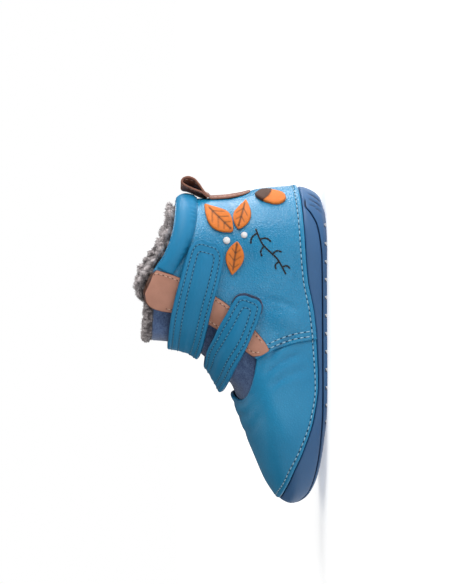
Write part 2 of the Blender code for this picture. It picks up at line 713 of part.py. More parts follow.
def make_pull_loop(boot):
    """The loop behind the collar: a strip up the heel that turns back and lies flat at its inner edge."""
    hug_heights = np.linspace(LOOP_FOOT_HEIGHT, LOOP_START_HEIGHT, LOOP_HUG_ROWS)
    _, hug_levels = spot(0, hug_heights)
    heel = form(0, hug_levels, OVERLAY_IN + LOOP_THICK / 2)
    stations = CENTRE_STATION - heel[:, 0] / MM
    table = [(station, height, 1, station) for station, height in zip(stations, heel[:, 2] / MM)]
    table += LOOP_LINE
    knots = np.arange(len(table))
    loop_at = np.linspace(LOOP_HUG_ROWS - 0.5, len(table) - 1, LOOP_ROUND_ROWS)
    at = np.concatenate((knots[:LOOP_HUG_ROWS], loop_at))
    line = {name: smooth(knots, column(table, LOOP_COLUMNS, name), at)[:, None] for name in LOOP_COLUMNS}
    share = np.linspace(-1, 1, LOOP_COUNT_ACROSS)
    inwards = (line["inner_station"] - line["station"]) * (1 + share) / 2
    station = line["station"] + inwards + LOOP_SAG * line["hug"] * share ** 2
    height = line["height"]
    ahead = np.gradient(station, axis=0), np.gradient(height, axis=0)
    size = np.hypot(*ahead)
    side = LOOP_WIDTH / 2 * share
    half = LOOP_THICK / 2
    back = place(station - ahead[1] / size * half, side, height + ahead[0] / size * half)
    front = place(station + ahead[1] / size * half, side, height - ahead[0] / size * half)
    return piece("pull_loop", closed_wall(back, front), material("brown leather", BROWN_LEATHER), boot)


def fur_roll(centres, across, half_across, half_tall, outward_lean):
    """A roll of pile along a line, its free side leaning out in locks, drawn to a point at both ends."""
    count = len(centres)
    along = np.arange(count)[:, None]
    around = np.linspace(0, 2 * np.pi, FUR_SIDES + 1)
    ends = np.sqrt(1 - np.abs(np.linspace(-1, 1, count)) ** FUR_END_POWER)[:, None]
    locks = LOCK_RISE * np.clip(np.sin(around) + LOCK_FREE, 0, 1)
    for by_row, by_side in LOCK_TWISTS:
        locks = locks * np.cos(by_row * along + by_side * around)
    leaning = outward_lean * np.clip(np.sin(2 * around), 0, 1) * (np.sin(around) > 0)
    wide = (half_across * np.cos(around) + leaning) * ends
    tall = (half_tall * np.sin(around) + locks) * ends
    points = centres[:, None] + across[:, None] * wide[..., None] * MM
    points[..., 2] += tall * MM
    points[:, -1] = points[:, 0]
    return closed_loft(points)


def make_fur_collar(boot):
    """The pile that stands above the collar, inside its edge."""
    end_turn, _ = spot(FUR_END_STATION, FUR_END_HEIGHT)
    turn = np.linspace(-end_turn, end_turn, FUR_COLLAR_ROWS)
    level = collar_level(turn)
    centres = form(turn, level, FUR_OUT)
    across = (centres - form(turn, level, FUR_OUT - 1)) / MM
    centres[:, 2] += FUR_LIFT * MM
    roll = fur_roll(centres, across, FUR_HALF_ACROSS, FUR_HALF_TALL, FUR_LEAN)
    return piece("fur_collar", roll, material("grey fur", GREY_FUR), boot)


def make_fur_tongue(boot):
    """The pile along the top of the tongue."""
    turns, levels, inside = tongue_lattice(2, FUR_TONGUE_ROWS)
    turn = turns[-1]
    out = tongue_out(turn, levels[-1], inside[-1]) - TONGUE_THICK / 2
    centres = form(turn, levels[-1], out)
    across = (centres - form(turn, levels[-1], out - 1)) / MM
    centres[:, 2] += FUR_TONGUE_LIFT * MM
    roll = fur_roll(centres, across, FUR_TONGUE_HALF_ACROSS, FUR_TONGUE_HALF_TALL, FUR_TONGUE_LEAN)
    return piece("fur_tongue", roll, material("grey fur", GREY_FUR), boot)


def make_leaf(name, row, boot):
    """A sewn leaf between its foot and its tip, widest near its middle."""
    sizes = dict(zip(LEAF_COLUMNS, row))
    share = np.linspace(0, 1, MOTIF_ROWS)
    stations = sizes["foot_station"] + share * (sizes["tip_station"] - sizes["foot_station"])
    heights = sizes["foot_height"] + share * (sizes["tip_height"] - sizes["foot_height"])
    half = sizes["width"] / 2 * (LEAF_BLUNT + (1 - LEAF_BLUNT) * np.sin(np.pi * share ** LEAF_SKEW))
    turns, levels = spot(stations, heights)
    turns, levels = strip_lattice(turns, levels, half[:, None] * np.linspace(-1, 1, MOTIF_COUNT_ACROSS))
    sheet = closed_wall(form(turns, levels, OVERLAY_OUT), form(turns, levels, OVERLAY_IN))
    return piece(name, sheet, material("orange cloth", ORANGE_CLOTH), boot)


def make_acorn(boot):
    """A sewn acorn beside the heel, its cap above its nut."""
    share = np.linspace(0, 1, MOTIF_ROWS)
    stations = ACORN[0][0] + share * (ACORN[1][0] - ACORN[0][0])
    heights = ACORN[0][1] + share * (ACORN[1][1] - ACORN[0][1])
    from_belly = np.abs((1 + ACORN_BELLY) * share - ACORN_BELLY)
    half = ACORN_WIDTH / 2 * np.sqrt(np.clip(1 - from_belly ** ACORN_POWER, ACORN_BLUNT, 1))
    turns, levels = spot(stations, heights)
    turns, levels = strip_lattice(turns, levels, half[:, None] * np.linspace(-1, 1, MOTIF_COUNT_ACROSS))
    sheet = closed_wall(form(turns, levels, OVERLAY_OUT), form(turns, levels, OVERLAY_IN))
    return piece("acorn", sheet, material("orange cloth", ORANGE_CLOTH), boot)


def main():
    for thing in list(bpy.data.objects):
        bpy.data.objects.remove(thing, do_unlink=True)
    boot = bpy.data.collections.new("barefoot boot")
    cutters = bpy.data.collections.new("cutters")
    bpy.context.scene.collection.children.link(boot)
    bpy.context.scene.collection.children.link(cutters)
    ring_turns = upper_lattice()[0][0]
    make_sole(ring_turns, boot, cutters)
    make_insole(ring_turns, boot)
    make_upper(boot)
    make_tongue(boot)
    make_cuff(boot)
    make_facing("facing_lateral", 1, boot)
    make_facing("facing_medial", -1, boot)
    make_strap("strap_upper", STRAP_UPPER, boot)
    make_strap("strap_lower", STRAP_LOWER, boot)
    make_tape("loop_tape_upper", STRAP_UPPER, TAPE_UPPER, boot)
    make_tape("loop_tape_lower", STRAP_LOWER, TAPE_LOWER, boot)
    make_pull_loop(boot)
    make_fur_collar(boot)
    make_fur_tongue(boot)
    for number, row in enumerate(LEAVES, 1):
        make_leaf(f"leaf_{number}", row, boot)
    make_acorn(boot)


main()
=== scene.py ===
"""The looks of a toddler's barefoot winter boot: leather, rubber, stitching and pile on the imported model.

Tables are in millimetres. A station runs along the foot from the back of the heel, a height from the ground.
A point of the boot's form is given by a turn round a ring of it, 0 at the heel and 1 at the toe, positive on
the outer side, and by a level up the stack of rings, from 0 at the ground to 12 at the collar.
"""

import bmesh
import bpy
import numpy as np
from mathutils import Matrix
from mathutils import Vector


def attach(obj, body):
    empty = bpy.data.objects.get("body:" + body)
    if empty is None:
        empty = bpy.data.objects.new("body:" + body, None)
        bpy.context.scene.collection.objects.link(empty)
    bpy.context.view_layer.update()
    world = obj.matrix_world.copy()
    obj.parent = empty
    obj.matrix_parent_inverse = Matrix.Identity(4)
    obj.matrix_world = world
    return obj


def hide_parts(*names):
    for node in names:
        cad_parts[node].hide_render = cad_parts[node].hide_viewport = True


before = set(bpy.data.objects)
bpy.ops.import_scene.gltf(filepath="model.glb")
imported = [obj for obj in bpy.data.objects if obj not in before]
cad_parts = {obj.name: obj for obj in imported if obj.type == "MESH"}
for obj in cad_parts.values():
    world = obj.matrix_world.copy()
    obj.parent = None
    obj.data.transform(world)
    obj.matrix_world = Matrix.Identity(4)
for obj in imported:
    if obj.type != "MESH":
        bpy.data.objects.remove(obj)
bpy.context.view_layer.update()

MM = 0.001
CENTRE_STATION = 73.4
CENTRE_SIDE = 0.5
MERGE = 0.000005
NUDGE = 0.0005
HALVINGS = 40
GAP = 0.3
BODY = "root"
SHARP_ANGLE = np.radians(42)
random = np.random.default_rng(22)

# The form: one row a ring, from the ground up
RING_COLUMNS = ("back", "back_up", "front", "front_up", "rear_out", "mid_out", "fore_out",
                "rear_in", "mid_in", "fore_in", "heel_round", "toe_round")
RINGS = (
    (11.0, 0.0, 120.0, 0.0, 21.5, 24.5, 28.0, 21.5, 21.0, 27.5, 0.20, 0.26),
    (5.0, 2.6, 141.0, 4.0, 24.0, 27.0, 31.0, 24.0, 23.5, 30.3, 0.20, 0.27),
    (2.0, 6.5, 149.5, 9.0, 25.2, 28.2, 32.2, 25.0, 24.8, 31.5, 0.20, 0.28),
    (0.6, 11.5, 152.0, 14.5, 25.8, 28.6, 32.8, 25.5, 25.4, 32.0, 0.20, 0.29),
    (1.3, 17.5, 150.0, 20.0, 25.9, 28.6, 32.6, 25.6, 25.7, 31.8, 0.20, 0.30),
    (1.8, 24.0, 142.0, 26.3, 25.6, 28.1, 31.4, 25.3, 25.6, 30.8, 0.21, 0.33),
    (2.6, 31.0, 128.0, 32.5, 25.0, 27.2, 28.8, 24.8, 25.3, 28.6, 0.22, 0.37),
    (4.9, 38.0, 110.0, 39.5, 24.3, 26.2, 26.5, 24.1, 25.0, 26.5, 0.25, 0.40),
    (6.4, 45.0, 92.0, 46.5, 23.6, 25.3, 25.0, 23.4, 24.7, 24.8, 0.28, 0.42),
    (6.8, 52.0, 79.5, 55.0, 23.2, 24.8, 23.6, 23.0, 24.4, 23.5, 0.31, 0.43),
    (7.1, 59.0, 73.0, 65.5, 23.2, 24.7, 23.0, 23.0, 24.3, 23.0, 0.34, 0.44),
    (7.5, 65.0, 71.0, 79.0, 23.7, 25.1, 23.0, 23.5, 24.7, 23.0, 0.36, 0.45),
    (8.0, 70.0, 70.5, 95.0, 24.4, 25.8, 23.5, 24.2, 25.4, 23.5, 0.38, 0.46),
)
TOP_RING = len(RINGS) - 1
REAR_WIDTH_AT = 0.20
MID_WIDTH_AT = 0.50
FORE_WIDTH_AT = 0.76
HEEL_POWER = 2.1
TOE_POWER = 2.3
TOE_LEAN = 4.0
LEAN_START = 70.0
LEAN_RUN = 82.0

# Lines on the form, as station and height
EDGE_LINE = ((0, 13), (25, 10.7), (42, 9.3), (56, 6.6), (70, 5.2), (90, 4.5), (105, 6.5), (120, 11),
             (133, 16), (145, 20), (152, 21.5))
GROOVE_LINE = ((1, 12.4), (6.3, 11.8), (11.6, 7.2), (16.6, 4.7), (22.6, 3.5), (31.5, 2.6), (58.6, 2.2),
               (100, 2.2), (120, 3.2), (141, 6.4), (150, 11.5), (152, 15.5))
COLLAR_LINE = ((8, 70), (12, 70.2), (16, 70.8), (21, 72), (28.3, 75), (35, 79.3), (41, 83), (47, 85.3))
SEAM_LINE = ((69, 5.2), (70.5, 15), (73.5, 24), (78, 33))
THROAT_LINE = ((78, 33), (71.5, 41.5), (64.5, 50), (57.5, 66), (55.6, 77.8), (53.8, 82.5), (50.6, 84.7),
               (47, 85.3))
SPRING_LINE = ((0, 0), (120, 0), (141, 4), (149.5, 9), (152, 14.5))
THROAT_FOOT_LEVEL = 7.6

# Offsets from the form, outwards
TREAD_OUT = 0.4
GROOVE_OUT = -0.6
GROOVE_HALF = 0.07
GROOVE_START = 4.5
GROOVE_FADE = 3.0
VAMP_OUT = 0.5
QUARTER_OUT = 1.4
WALL_IN = -1.0
LIP_OUT = WALL_IN - 0.5
LIP_IN = -2.9
LIP_RISE = 0.75
OVERLAY_IN = QUARTER_OUT + GAP
OVERLAY_OUT = OVERLAY_IN + 1.2
STRAP_IN = OVERLAY_OUT + 0.5
STRAP_OUT = STRAP_IN + 2.2

# The sole, the insole and the lining
FLOOR_HEIGHT = 4.2
INSOLE_THICK = 3.0
INSOLE_OUT = LIP_IN - 2.4
TREAD_PITCH = 8.3
TREAD_WIDTH = 1.8
TREAD_DEPTH = 1.25
TREAD_FIRST = 17.0
TREAD_COUNT = 15
CUTTER_HALF_WIDTH = 45.0
SOLE_COLUMNS = 340

# Slanted cuts in the rubber at the corner of the heel, from end to end
HEEL_CUT_COLUMNS = ("from_station", "from_height", "to_station", "to_height", "half_width", "depth")
HEEL_CUTS = (
    (2.8, 7.6, 6.4, 2.6, 0.30, 0.6),
    (4.8, 8.0, 8.6, 2.5, 0.30, 0.6),
    (7.2, 7.6, 11.2, 2.4, 0.30, 0.5),
)

# Soft swellings and hollows of the leather
PUFF_COLUMNS = ("station", "height", "reach_along", "reach_up", "rise")
PUFFS = (
    (59.5, 19.5, 5.0, 7.0, 1.3),
    (44.0, 27.0, 10.0, 8.0, 0.55),
    (22.0, 25.0, 13.0, 10.0, 0.35),
    (30.0, 36.0, 8.0, 8.0, -0.35),
    (14.0, 47.0, 10.0, 8.0, -0.3),
    (86.0, 17.0, 8.0, 8.0, 0.5),
    (112.0, 24.0, 12.0, 8.0, 0.35),
)

# Creases of the leather seen from the side, from end to end
CREASE_COLUMNS = HEEL_CUT_COLUMNS
CREASES = (
    (78.0, 27.0, 66.0, 15.0, 1.7, 0.55),
    (84.0, 28.0, 75.5, 14.0, 1.5, 0.5),
    (90.0, 26.0, 83.0, 10.0, 1.7, 0.5),
    (50.4, 28.5, 55.0, 14.5, 1.3, 0.45),
    (54.5, 27.5, 57.5, 17.0, 0.9, 0.2),
    (30.0, 15.0, 44.0, 17.5, 2.4, 0.25),
    (8.0, 44.0, 20.0, 41.0, 2.0, 0.25),
)

# Creases over the vamp where the foot bends
FLEX_COLUMNS = ("station", "sweep", "half_width", "depth")
FLEXES = (
    (103.0, 10.0, 2.1, 0.55),
    (109.5, 12.0, 2.0, 0.45),
    (117.0, 13.0, 2.3, 0.35),
)

# The tongue
TONGUE_TUCK = 0.05
TONGUE_THICK = 4.2
TONGUE_UNDER = WALL_IN - 0.8
TONGUE_CROWN = 1.8
TONGUE_FOOT = 0.9
TONGUE_TOP_MID = 11.2
TONGUE_TOP_EDGE = 11.5

# The collar cuff
CUFF_TALL = 10.2
CUFF_BULGE = 2.1
CUFF_END_FLAT = 0.6
CUFF_TOP_GAP = 0.08
CUFF_HEM = 0.5
CUFF_END = ((38.9, 68.2), (35.4, 79.8))

# The fur: half thickness across the wall, half height, and how it sits on the edge
FUR_OUT = -4.8
FUR_HALF_ACROSS = 3.0
FUR_HALF_TALL = 3.8
FUR_LIFT = 0.6
FUR_LEAN = 2.9
FUR_HEEL_LEAN = 1.8
FUR_HEEL_TURN = 0.3
FUR_END_POWER = 6
FUR_END_STATION = 47.0
FUR_END_HEIGHT = 85.2
FUR_TONGUE_HALF_ACROSS = 2.4
FUR_TONGUE_HALF_TALL = 1.8
FUR_TONGUE_LIFT = 2.0
FUR_TONGUE_ROOT = 1.6

# The pile: lumps and smaller curls on a roll, as how many a square millimetre, their radii and their height
LUMP_COLUMNS = ("each_mm2", "least_radius", "greatest_radius", "height_share")
LUMPS = (
    (0.13, 1.2, 2.1, 0.95),
    (1.1, 0.4, 0.8, 0.55),
)
LUMP_POWER = 0.75
LUMP_ROOM = 1.2
PILE_SPACING = 0.3
PILE_SIDES = 60

# The short hairs on the pile
HAIRS_EACH_MM2 = 4.4
HAIR_LENGTH = (0.5, 1.2)
HAIR_TILT = 0.5
HAIR_CURL = (0.6, 2.4)
HAIR_BEND = 0.35
HAIR_HALF_THICK = 0.14
HAIR_ROWS = 4
HAIR_SIDES = 3

# A facing: back edge and throat edge, from its foot to its top
FACING_COLUMNS = ("back_station", "back_height", "front_station", "front_height")
FACING = (
    (73.6, 27.0, 74.4, 27.6),
    (70.0, 29.0, 76.3, 31.0),
    (66.0, 32.2, 76.6, 33.9),
    (60.5, 37.5, 72.4, 39.6),
    (51.5, 47.5, 64.0, 50.2),
    (44.0, 60.0, 57.2, 65.4),
    (39.0, 71.0, 55.2, 77.4),
    (37.2, 76.6, 53.2, 82.0),
    (36.6, 79.0, 50.2, 84.0),
    (38.4, 80.8, 46.6, 84.6),
)

# The straps: one row a place on the way from the fixed end to the tip, inner side negative
STRAP_COLUMNS = ("station", "height", "side", "width")
STRAP_UPPER = (
    (38.0, 58.0, -1, 17.0),
    (48.0, 60.0, -1, 18.0),
    (60.0, 62.4, -1, 18.0),
    (74.4, 64.3, 1, 17.4),
    (62.0, 63.0, 1, 18.2),
    (50.0, 61.0, 1, 18.4),
    (38.0, 58.3, 1, 18.2),
    (24.5, 54.9, 1, 17.0),
)
STRAP_LOWER = (
    (56.0, 37.5, -1, 16.0),
    (66.0, 41.0, -1, 17.0),
    (78.0, 45.6, -1, 17.0),
    (88.0, 48.6, 1, 16.4),
    (78.0, 46.4, 1, 16.4),
    (68.0, 42.4, 1, 15.6),
    (58.0, 38.6, 1, 14.4),
    (49.5, 35.2, 1, 12.4),
)
STRAP_UPPER_ROUND = 6.0
STRAP_LOWER_ROUND = 4.4
STRAP_ROWS = (2.05, 4.9)
END_ROW = 5
STRAP_SEWN_RUN = 8.0
STRAP_SEWN_DROP = 1.3
STRAP_SEWN_IN = QUARTER_OUT + 0.05

# The loop tapes: how far each shows past its strap's tip and sides, and its length
TAPE_COLUMNS = ("past_tip", "past_side", "length")
TAPE_UPPER = (-1.2, -1.2, 15.8)
TAPE_LOWER = (1.0, 0.5, 7.5)

# The pull loop: its middle line round the loop, how closely it hugs the heel, and its inner edge, folded flat
LOOP_FOOT_HEIGHT = 34.0
LOOP_START_HEIGHT = 53.0
LOOP_COLUMNS = ("station", "height", "hug", "inner_station")
LOOP_LINE = (
    (3.4, 54.8, 0.9, 3.4),
    (2.1, 56.3, 0.7, 3.2),
    (-2.0, 59.2, 0.3, 2.3),
    (-4.2, 61.4, 0.1, 1.6),
    (-5.0, 64.0, 0.0, 0.8),
    (-4.4, 66.1, 0.0, 0.7),
    (-3.0, 67.0, 0.0, 1.5),
    (-1.6, 66.1, 0.0, 2.3),
    (-0.8, 64.6, 0.2, 2.4),
    (0.2, 62.2, 0.5, 3.1),
    (1.0, 59.8, 0.7, 4.2),
    (1.7, 57.9, 0.7, 5.0),
    (2.8, 56.3, 0.8, 5.2),
    (4.2, 54.9, 0.9, 5.0),
)
LOOP_THICK = 1.0
LOOP_WIDTH = 11.0
LOOP_SAG = 0.65
LOOP_HUG_ROWS = 4
LOOP_FOOT_ROUND = 5.5
LOOP_FOOT_THICK = 0.45
LOOP_FOOT_RUN = 9.0
LOOP_ROW = 1.5

# The sewn motifs on the outer quarter: foot, tip and greatest width of each leaf
LEAF_COLUMNS = ("foot_station", "foot_height", "tip_station", "tip_height", "width")
LEAVES = (
    (19.8, 43.8, 9.6, 56.2, 10.5),
    (18.8, 41.2, 7.4, 36.6, 8.5),
    (24.2, 41.6, 39.0, 44.2, 8.5),
)
ACORN = ((4.2, 31.0), (6.5, 19.0))
ACORN_WIDTH = 9.0
BERRIES = ((21.2, 38.4, 1.5), (23.6, 46.6, 1.7), (16.0, 46.4, 1.2))

# The embroidered twig: its stem, then the reach of its strokes on both sides
TWIG_STEM = ((18.5, 33.0), (24.5, 30.4), (32.0, 23.0), (38.5, 19.5))
TWIG_STROKES = (0.1, 0.25, 0.4, 0.55, 0.7, 0.84)
TWIG_REACH = 6.0
TWIG_CURVE = 1.3

# The quarter's lap over the vamp: distances past the seam, and how far the leather stands out there
LAP_PAST = (-0.9, -0.5, -0.22, -0.06, 0.06, 0.3, 0.7, 1.6)
LAP_OUT = (QUARTER_OUT, 1.37, 1.22, 0.98, 0.25, 0.36, 0.46, VAMP_OUT)

# How finely the upper, the tongue and the pull loop are drawn
QUARTER_COLUMNS = 92
VAMP_COLUMNS = 84
THROAT_ROWS = 40
TONGUE_ROWS = 90
TONGUE_COLUMNS = 81
LOOP_LINE_ROWS = 200

# Rows of stitches on the upper, behind the seam and above the lower edge, and the furrows that they draw
SEAM_ROWS = (1.9, 4.3)
MARGIN_ROW = 2.1
UPPER_FURROW = 0.45
STRAP_FURROW = 0.4

# Rows of stitches on a facing: distance from the back edge, or from the throat if negative, and the span
FACING_ROWS = ((1.6, 20, 140), (-1.9, 20, 96))
FACING_DRAWN_ROWS = 150

# The parts of the pull loop's line that are sewn, seen from the back and from the front
LOOP_SEWN_BACK = slice(4, 196)
LOOP_SEWN_FRONT = slice(70, 196)

# Stitches: the pitch of a row, and the length and thickness of each
UPPER_STITCH = (2.7, 1.9, 0.66)
FACING_STITCH = (2.2, 1.5, 0.5)
STRAP_STITCH = (1.95, 1.15, 0.5)
LOOP_STITCH = (2.2, 1.5, 0.4)
TWIG_STITCH = (1.25, 1.75, 0.95)

# Colours of the blue leather and of its cut edge, and the border of a cell of the grain; the deep blue is
# also painted shade in creases, hollows and stitch furrows
BLUE = (0.007, 0.202, 0.390)
BLUE_LIGHT = (0.022, 0.270, 0.478)
BLUE_DEEP = (0.004, 0.110, 0.240)
RAW_EDGE = (0.12, 0.055, 0.035)
CELL_BORDER = 0.3

# The stage, in metres: the floor, the light of the world, and each lamp's name, place, size and power
FLOOR_HALF = 6
FLOOR_PAPER = (0.92, 0.92, 0.92)
NEAR_GLOW = (0.45, 0.45, 0.45)
FAR_GLOW = (0.9, 0.9, 0.9)
WORLD_LIGHT = 0.15
LAMP_AIM = (0, 0, 0.04)
LIGHTS = (
    ("key_from_heel", (1.0, -0.42, 0.25), 0.8, 12.0),
    ("rim_behind_heel", (0.9, 0.45, 0.22), 0.6, 9.0),
    ("sheen_from_side", (-0.02, -1.05, 0.16), 0.2, 0.7),
    ("fill_from_toe", (-0.9, -0.7, 0.5), 0.8, 1.6),
    ("top_soft", (0.0, 0.15, 1.1), 1.0, 4.0),
)

# The photograph's frame and where the boot lies in it
PHOTO_WIDTH = 452
PHOTO_HEIGHT = 584
PIXELS_PER_MM = 2.15
HEEL_PIXEL_Y = 189.0
GROUND_PIXEL_X = 326.5
CAMERA_DISTANCE = 0.95
CAMERA_TOWARDS_HEEL = np.radians(7)
CAMERA_UP = np.radians(2)
NEAR_SIDE = -18.0
SENSOR = 36.0


# Curves and the form

def hermite(share, start, end, start_slope, end_slope):
    """A cubic from start to end as share goes from 0 to 1."""
    rest = 1 - share
    ends = start * rest * rest * (1 + 2 * share) + end * share * share * (1 + 2 * rest)
    return ends + share * rest * (rest * start_slope - share * end_slope)


def smooth(knots, values, at):
    """A curve through the knots that never swings past a high or a low."""
    knots = np.asarray(knots, float)
    values = np.asarray(values, float)
    spans = np.diff(knots)
    rises = np.diff(values) / spans
    both = rises[:-1] * rises[1:]
    total = rises[:-1] + rises[1:]
    slopes = np.concatenate((rises[:1], np.zeros(len(both)), rises[-1:]))
    slopes[1:-1][both > 0] = 2 * both[both > 0] / total[both > 0]
    at = np.clip(at, knots[0], knots[-1])
    piece = np.clip(np.searchsorted(knots, at) - 1, 0, len(spans) - 1)
    share = (at - knots[piece]) / spans[piece]
    scale = spans[piece]
    return hermite(share, values[piece], values[piece + 1], slopes[piece] * scale, slopes[piece + 1] * scale)


def ease(share):
    """A soft step from 0 to 1."""
    return hermite(np.clip(share, 0, 1), 0, 1, 0, 0)


def column(table, names, name):
    """One named column of a table."""
    return np.array([row[names.index(name)] for row in table], float)


def ring_value(name, level):
    """A column of the ring table at any level."""
    return smooth(np.arange(len(RINGS)), column(RINGS, RING_COLUMNS, name), level)


def half_width(along, rear, middle, fore):
    """Half the ring's width, from its three widths along the foot."""
    slope = (fore - rear) / (FORE_WIDTH_AT - REAR_WIDTH_AT)
    rear_span = MID_WIDTH_AT - REAR_WIDTH_AT
    fore_span = FORE_WIDTH_AT - MID_WIDTH_AT
    rear_share = np.clip((along - REAR_WIDTH_AT) / rear_span, 0, 1)
    fore_share = np.clip((along - MID_WIDTH_AT) / fore_span, 0, 1)
    rear_part = hermite(rear_share, rear, middle, 0, slope * rear_span)
    fore_part = hermite(fore_share, middle, fore, slope * fore_span, 0)
    return np.where(along < MID_WIDTH_AT, rear_part, fore_part)


def rounding(share, power):
    """How the width grows from nothing at the end of a ring."""
    rest = np.clip(1 - share, 0, 1)
    return (1 - rest ** power) ** (1 / power)


def lean(station):
    """How far the middle line leans to the inner side towards the toe."""
    return TOE_LEAN * np.clip((station - LEAN_START) / LEAN_RUN, 0, None) ** 2


def place(station, side, height):
    """World points from stations, sides and heights."""
    station, side, height = np.broadcast_arrays(station, side, height)
    return np.stack((CENTRE_STATION - station, side - CENTRE_SIDE, height), -1) * MM


def unplace(points):
    """Stations, sides and heights of world points."""
    return CENTRE_STATION - points[..., 0] / MM, points[..., 1] / MM + CENTRE_SIDE, points[..., 2] / MM


def ring_point(turn, level):
    """Points of the bare form."""
    turn, level = np.broadcast_arrays(np.asarray(turn, float), np.asarray(level, float))
    turn = (turn + 1) % 2 - 1
    ring = {name: ring_value(name, level) for name in RING_COLUMNS}
    along = (1 - np.cos(np.pi * turn)) / 2
    station = ring["back"] + along * (ring["front"] - ring["back"])
    height = ring["back_up"] + along * (ring["front_up"] - ring["back_up"])
    outer = half_width(along, ring["rear_out"], ring["mid_out"], ring["fore_out"])
    inner = half_width(along, ring["rear_in"], ring["mid_in"], ring["fore_in"])
    ends = rounding(along / ring["heel_round"], HEEL_POWER)
    ends = ends * rounding((1 - along) / ring["toe_round"], TOE_POWER)
    side = lean(station) - np.sign(turn) * ends * np.where(turn > 0, outer, inner)
    return place(station, side, height)


def form_slopes(turn, level):
    """How a point of the form moves with turn and with level."""
    by_turn = ring_point(turn + NUDGE, level) - ring_point(turn - NUDGE, level)
    above = np.minimum(level + NUDGE, TOP_RING)
    below = np.maximum(level - NUDGE, 0)
    by_level = ring_point(turn, above) - ring_point(turn, below)
    return by_turn / (2 * NUDGE), by_level / (above - below)[..., None]


def unit(vectors):
    """The vectors, each at length 1."""
    return vectors / np.linalg.norm(vectors, axis=-1, keepdims=True)


def form_normal(turn, level):
    """The form's outward direction."""
    turn, level = np.broadcast_arrays(np.asarray(turn, float), np.asarray(level, float))
    by_turn, by_level = form_slopes(turn, level)
    return unit(np.cross(by_level, by_turn))


def form(turn, level, out):
    """Points at a distance out from the form."""
    turn, level, out = np.broadcast_arrays(np.asarray(turn, float), np.asarray(level, float), out)
    return ring_point(turn, level) + form_normal(turn, level) * out[..., None] * MM


def spot(station, height, side=1):
    """The turn and level of the form's point with this station and height."""
    station, height = np.broadcast_arrays(np.asarray(station, float), np.asarray(height, float))
    low = np.zeros(station.shape)
    high = np.full(station.shape, float(TOP_RING))
    for _ in range(HALVINGS):
        level = (low + high) / 2
        back = ring_value("back", level)
        along = np.clip((station - back) / (ring_value("front", level) - back), 0, 1)
        back_up = ring_value("back_up", level)
        lift = back_up + along * (ring_value("front_up", level) - back_up)
        low = np.where(lift < height, level, low)
        high = np.where(lift < height, high, level)
    return side * np.arccos(1 - 2 * along) / np.pi, level


def line_level(line, turn):
    """The level of a line on the form, at a turn."""
    turns, levels = spot(*np.transpose(line))
    return smooth(turns, levels, np.abs(turn))


def edge_level(turn):
    """The lower edge of the leather."""
    return line_level(EDGE_LINE, turn)


def groove_level(turn):
    """The parting groove round the sole, which runs out under the leather at the heel."""
    return np.minimum(line_level(GROOVE_LINE, turn), edge_level(turn) - 0.35)


def collar_level(turn):
    """The upper edge of the quarter."""
    return line_level(COLLAR_LINE, turn)


def throat_foot_level(turn):
    """The line from the foot of the throat, back along the quarter and forward over the vamp."""
    corner_turn, corner_level = spot(*SEAM_LINE[-1])
    share = np.clip((np.abs(turn) - corner_turn) / (1 - corner_turn), 0, 1)
    return hermite(share, corner_level, THROAT_FOOT_LEVEL, 1.0, 0)


def boundary(line, shares):
    """Points along a line on the form, spread by its own length."""
    stations, heights = np.transpose(line)
    lengths = np.concatenate(([0], np.cumsum(np.hypot(np.diff(stations), np.diff(heights)))))
    at = np.asarray(shares) * lengths[-1]
    return spot(smooth(lengths, stations, at), smooth(lengths, heights, at))


def strip_lattice(turns, levels, across):
    """Turns and levels of a strip along a path, stepped sideways by the distances in across."""
    by_turn, by_level = form_slopes(turns, levels)
    ahead = by_turn * np.gradient(turns)[:, None] + by_level * np.gradient(levels)[:, None]
    aside = unit(np.cross(np.cross(by_level, by_turn), ahead))
    turn_turn = np.sum(by_turn * by_turn, 1)
    turn_level = np.sum(by_turn * by_level, 1)
    level_level = np.sum(by_level * by_level, 1)
    aside_turn = np.sum(aside * by_turn, 1)
    aside_level = np.sum(aside * by_level, 1)
    area = turn_turn * level_level - turn_level ** 2
    turn_step = (aside_turn * level_level - aside_level * turn_level) / area
    level_step = (aside_level * turn_turn - aside_turn * turn_level) / area
    moved_turns = turns[:, None] + turn_step[:, None] * across * MM
    moved_levels = levels[:, None] + level_step[:, None] * across * MM
    return moved_turns, moved_levels


def lattice_between(table, names, rows, shares, side):
    """Turns and levels between the back edge and the front edge of a panel."""
    at = np.linspace(0, len(table) - 1, rows)
    knots = np.arange(len(table))
    edges = {name: smooth(knots, column(table, names, name), at)[:, None] for name in names}
    station = edges["back_station"] + (edges["front_station"] - edges["back_station"]) * shares
    height = edges["back_height"] + (edges["front_height"] - edges["back_height"]) * shares
    return spot(station, height, side)


def run_along(points):
    """Distances along a line of points, in millimetres."""
    steps = np.linalg.norm(np.diff(points, axis=0), axis=1)
    return np.concatenate(([0], np.cumsum(steps))) / MM


def on_line(at, run, values):
    """Rows of values at distances along a run."""
    return np.stack([np.interp(at, run, part) for part in values.T], -1)


def stretches(turn, level):
    """Millimetres a unit of turn, and a unit of level."""
    return [np.linalg.norm(slopes, axis=-1) / MM for slopes in form_slopes(turn, level)]


def path_on_form(table, names):
    """Turns, levels and lengths of a path that may cross the front of the boot."""
    turns, levels = spot(column(table, names, "station"), column(table, names, "height"))
    turns = np.where(column(table, names, "side") < 0, 2 - turns, turns)
    return turns, levels, run_along(ring_point(turns, levels))


def crowded(count):
    """Shares from 0 to 1 that crowd towards both ends."""
    return (1 - np.cos(np.pi * np.linspace(0, 1, count))) / 2


def both_ways(count):
    """Shares from -1 to 1 that crowd towards both ends."""
    return 2 * crowded(count) - 1


# Reliefs

def bell(distance, reach):
    """A soft hump, 1 at distance 0."""
    return np.exp(-(distance / reach) ** 2)


def trough(distance, half_width_mm):
    """A soft furrow with a low ridge on both sides."""
    share = distance / half_width_mm
    return np.exp(-share ** 2) - 0.35 * np.exp(-(np.abs(share) - 1.9) ** 2)


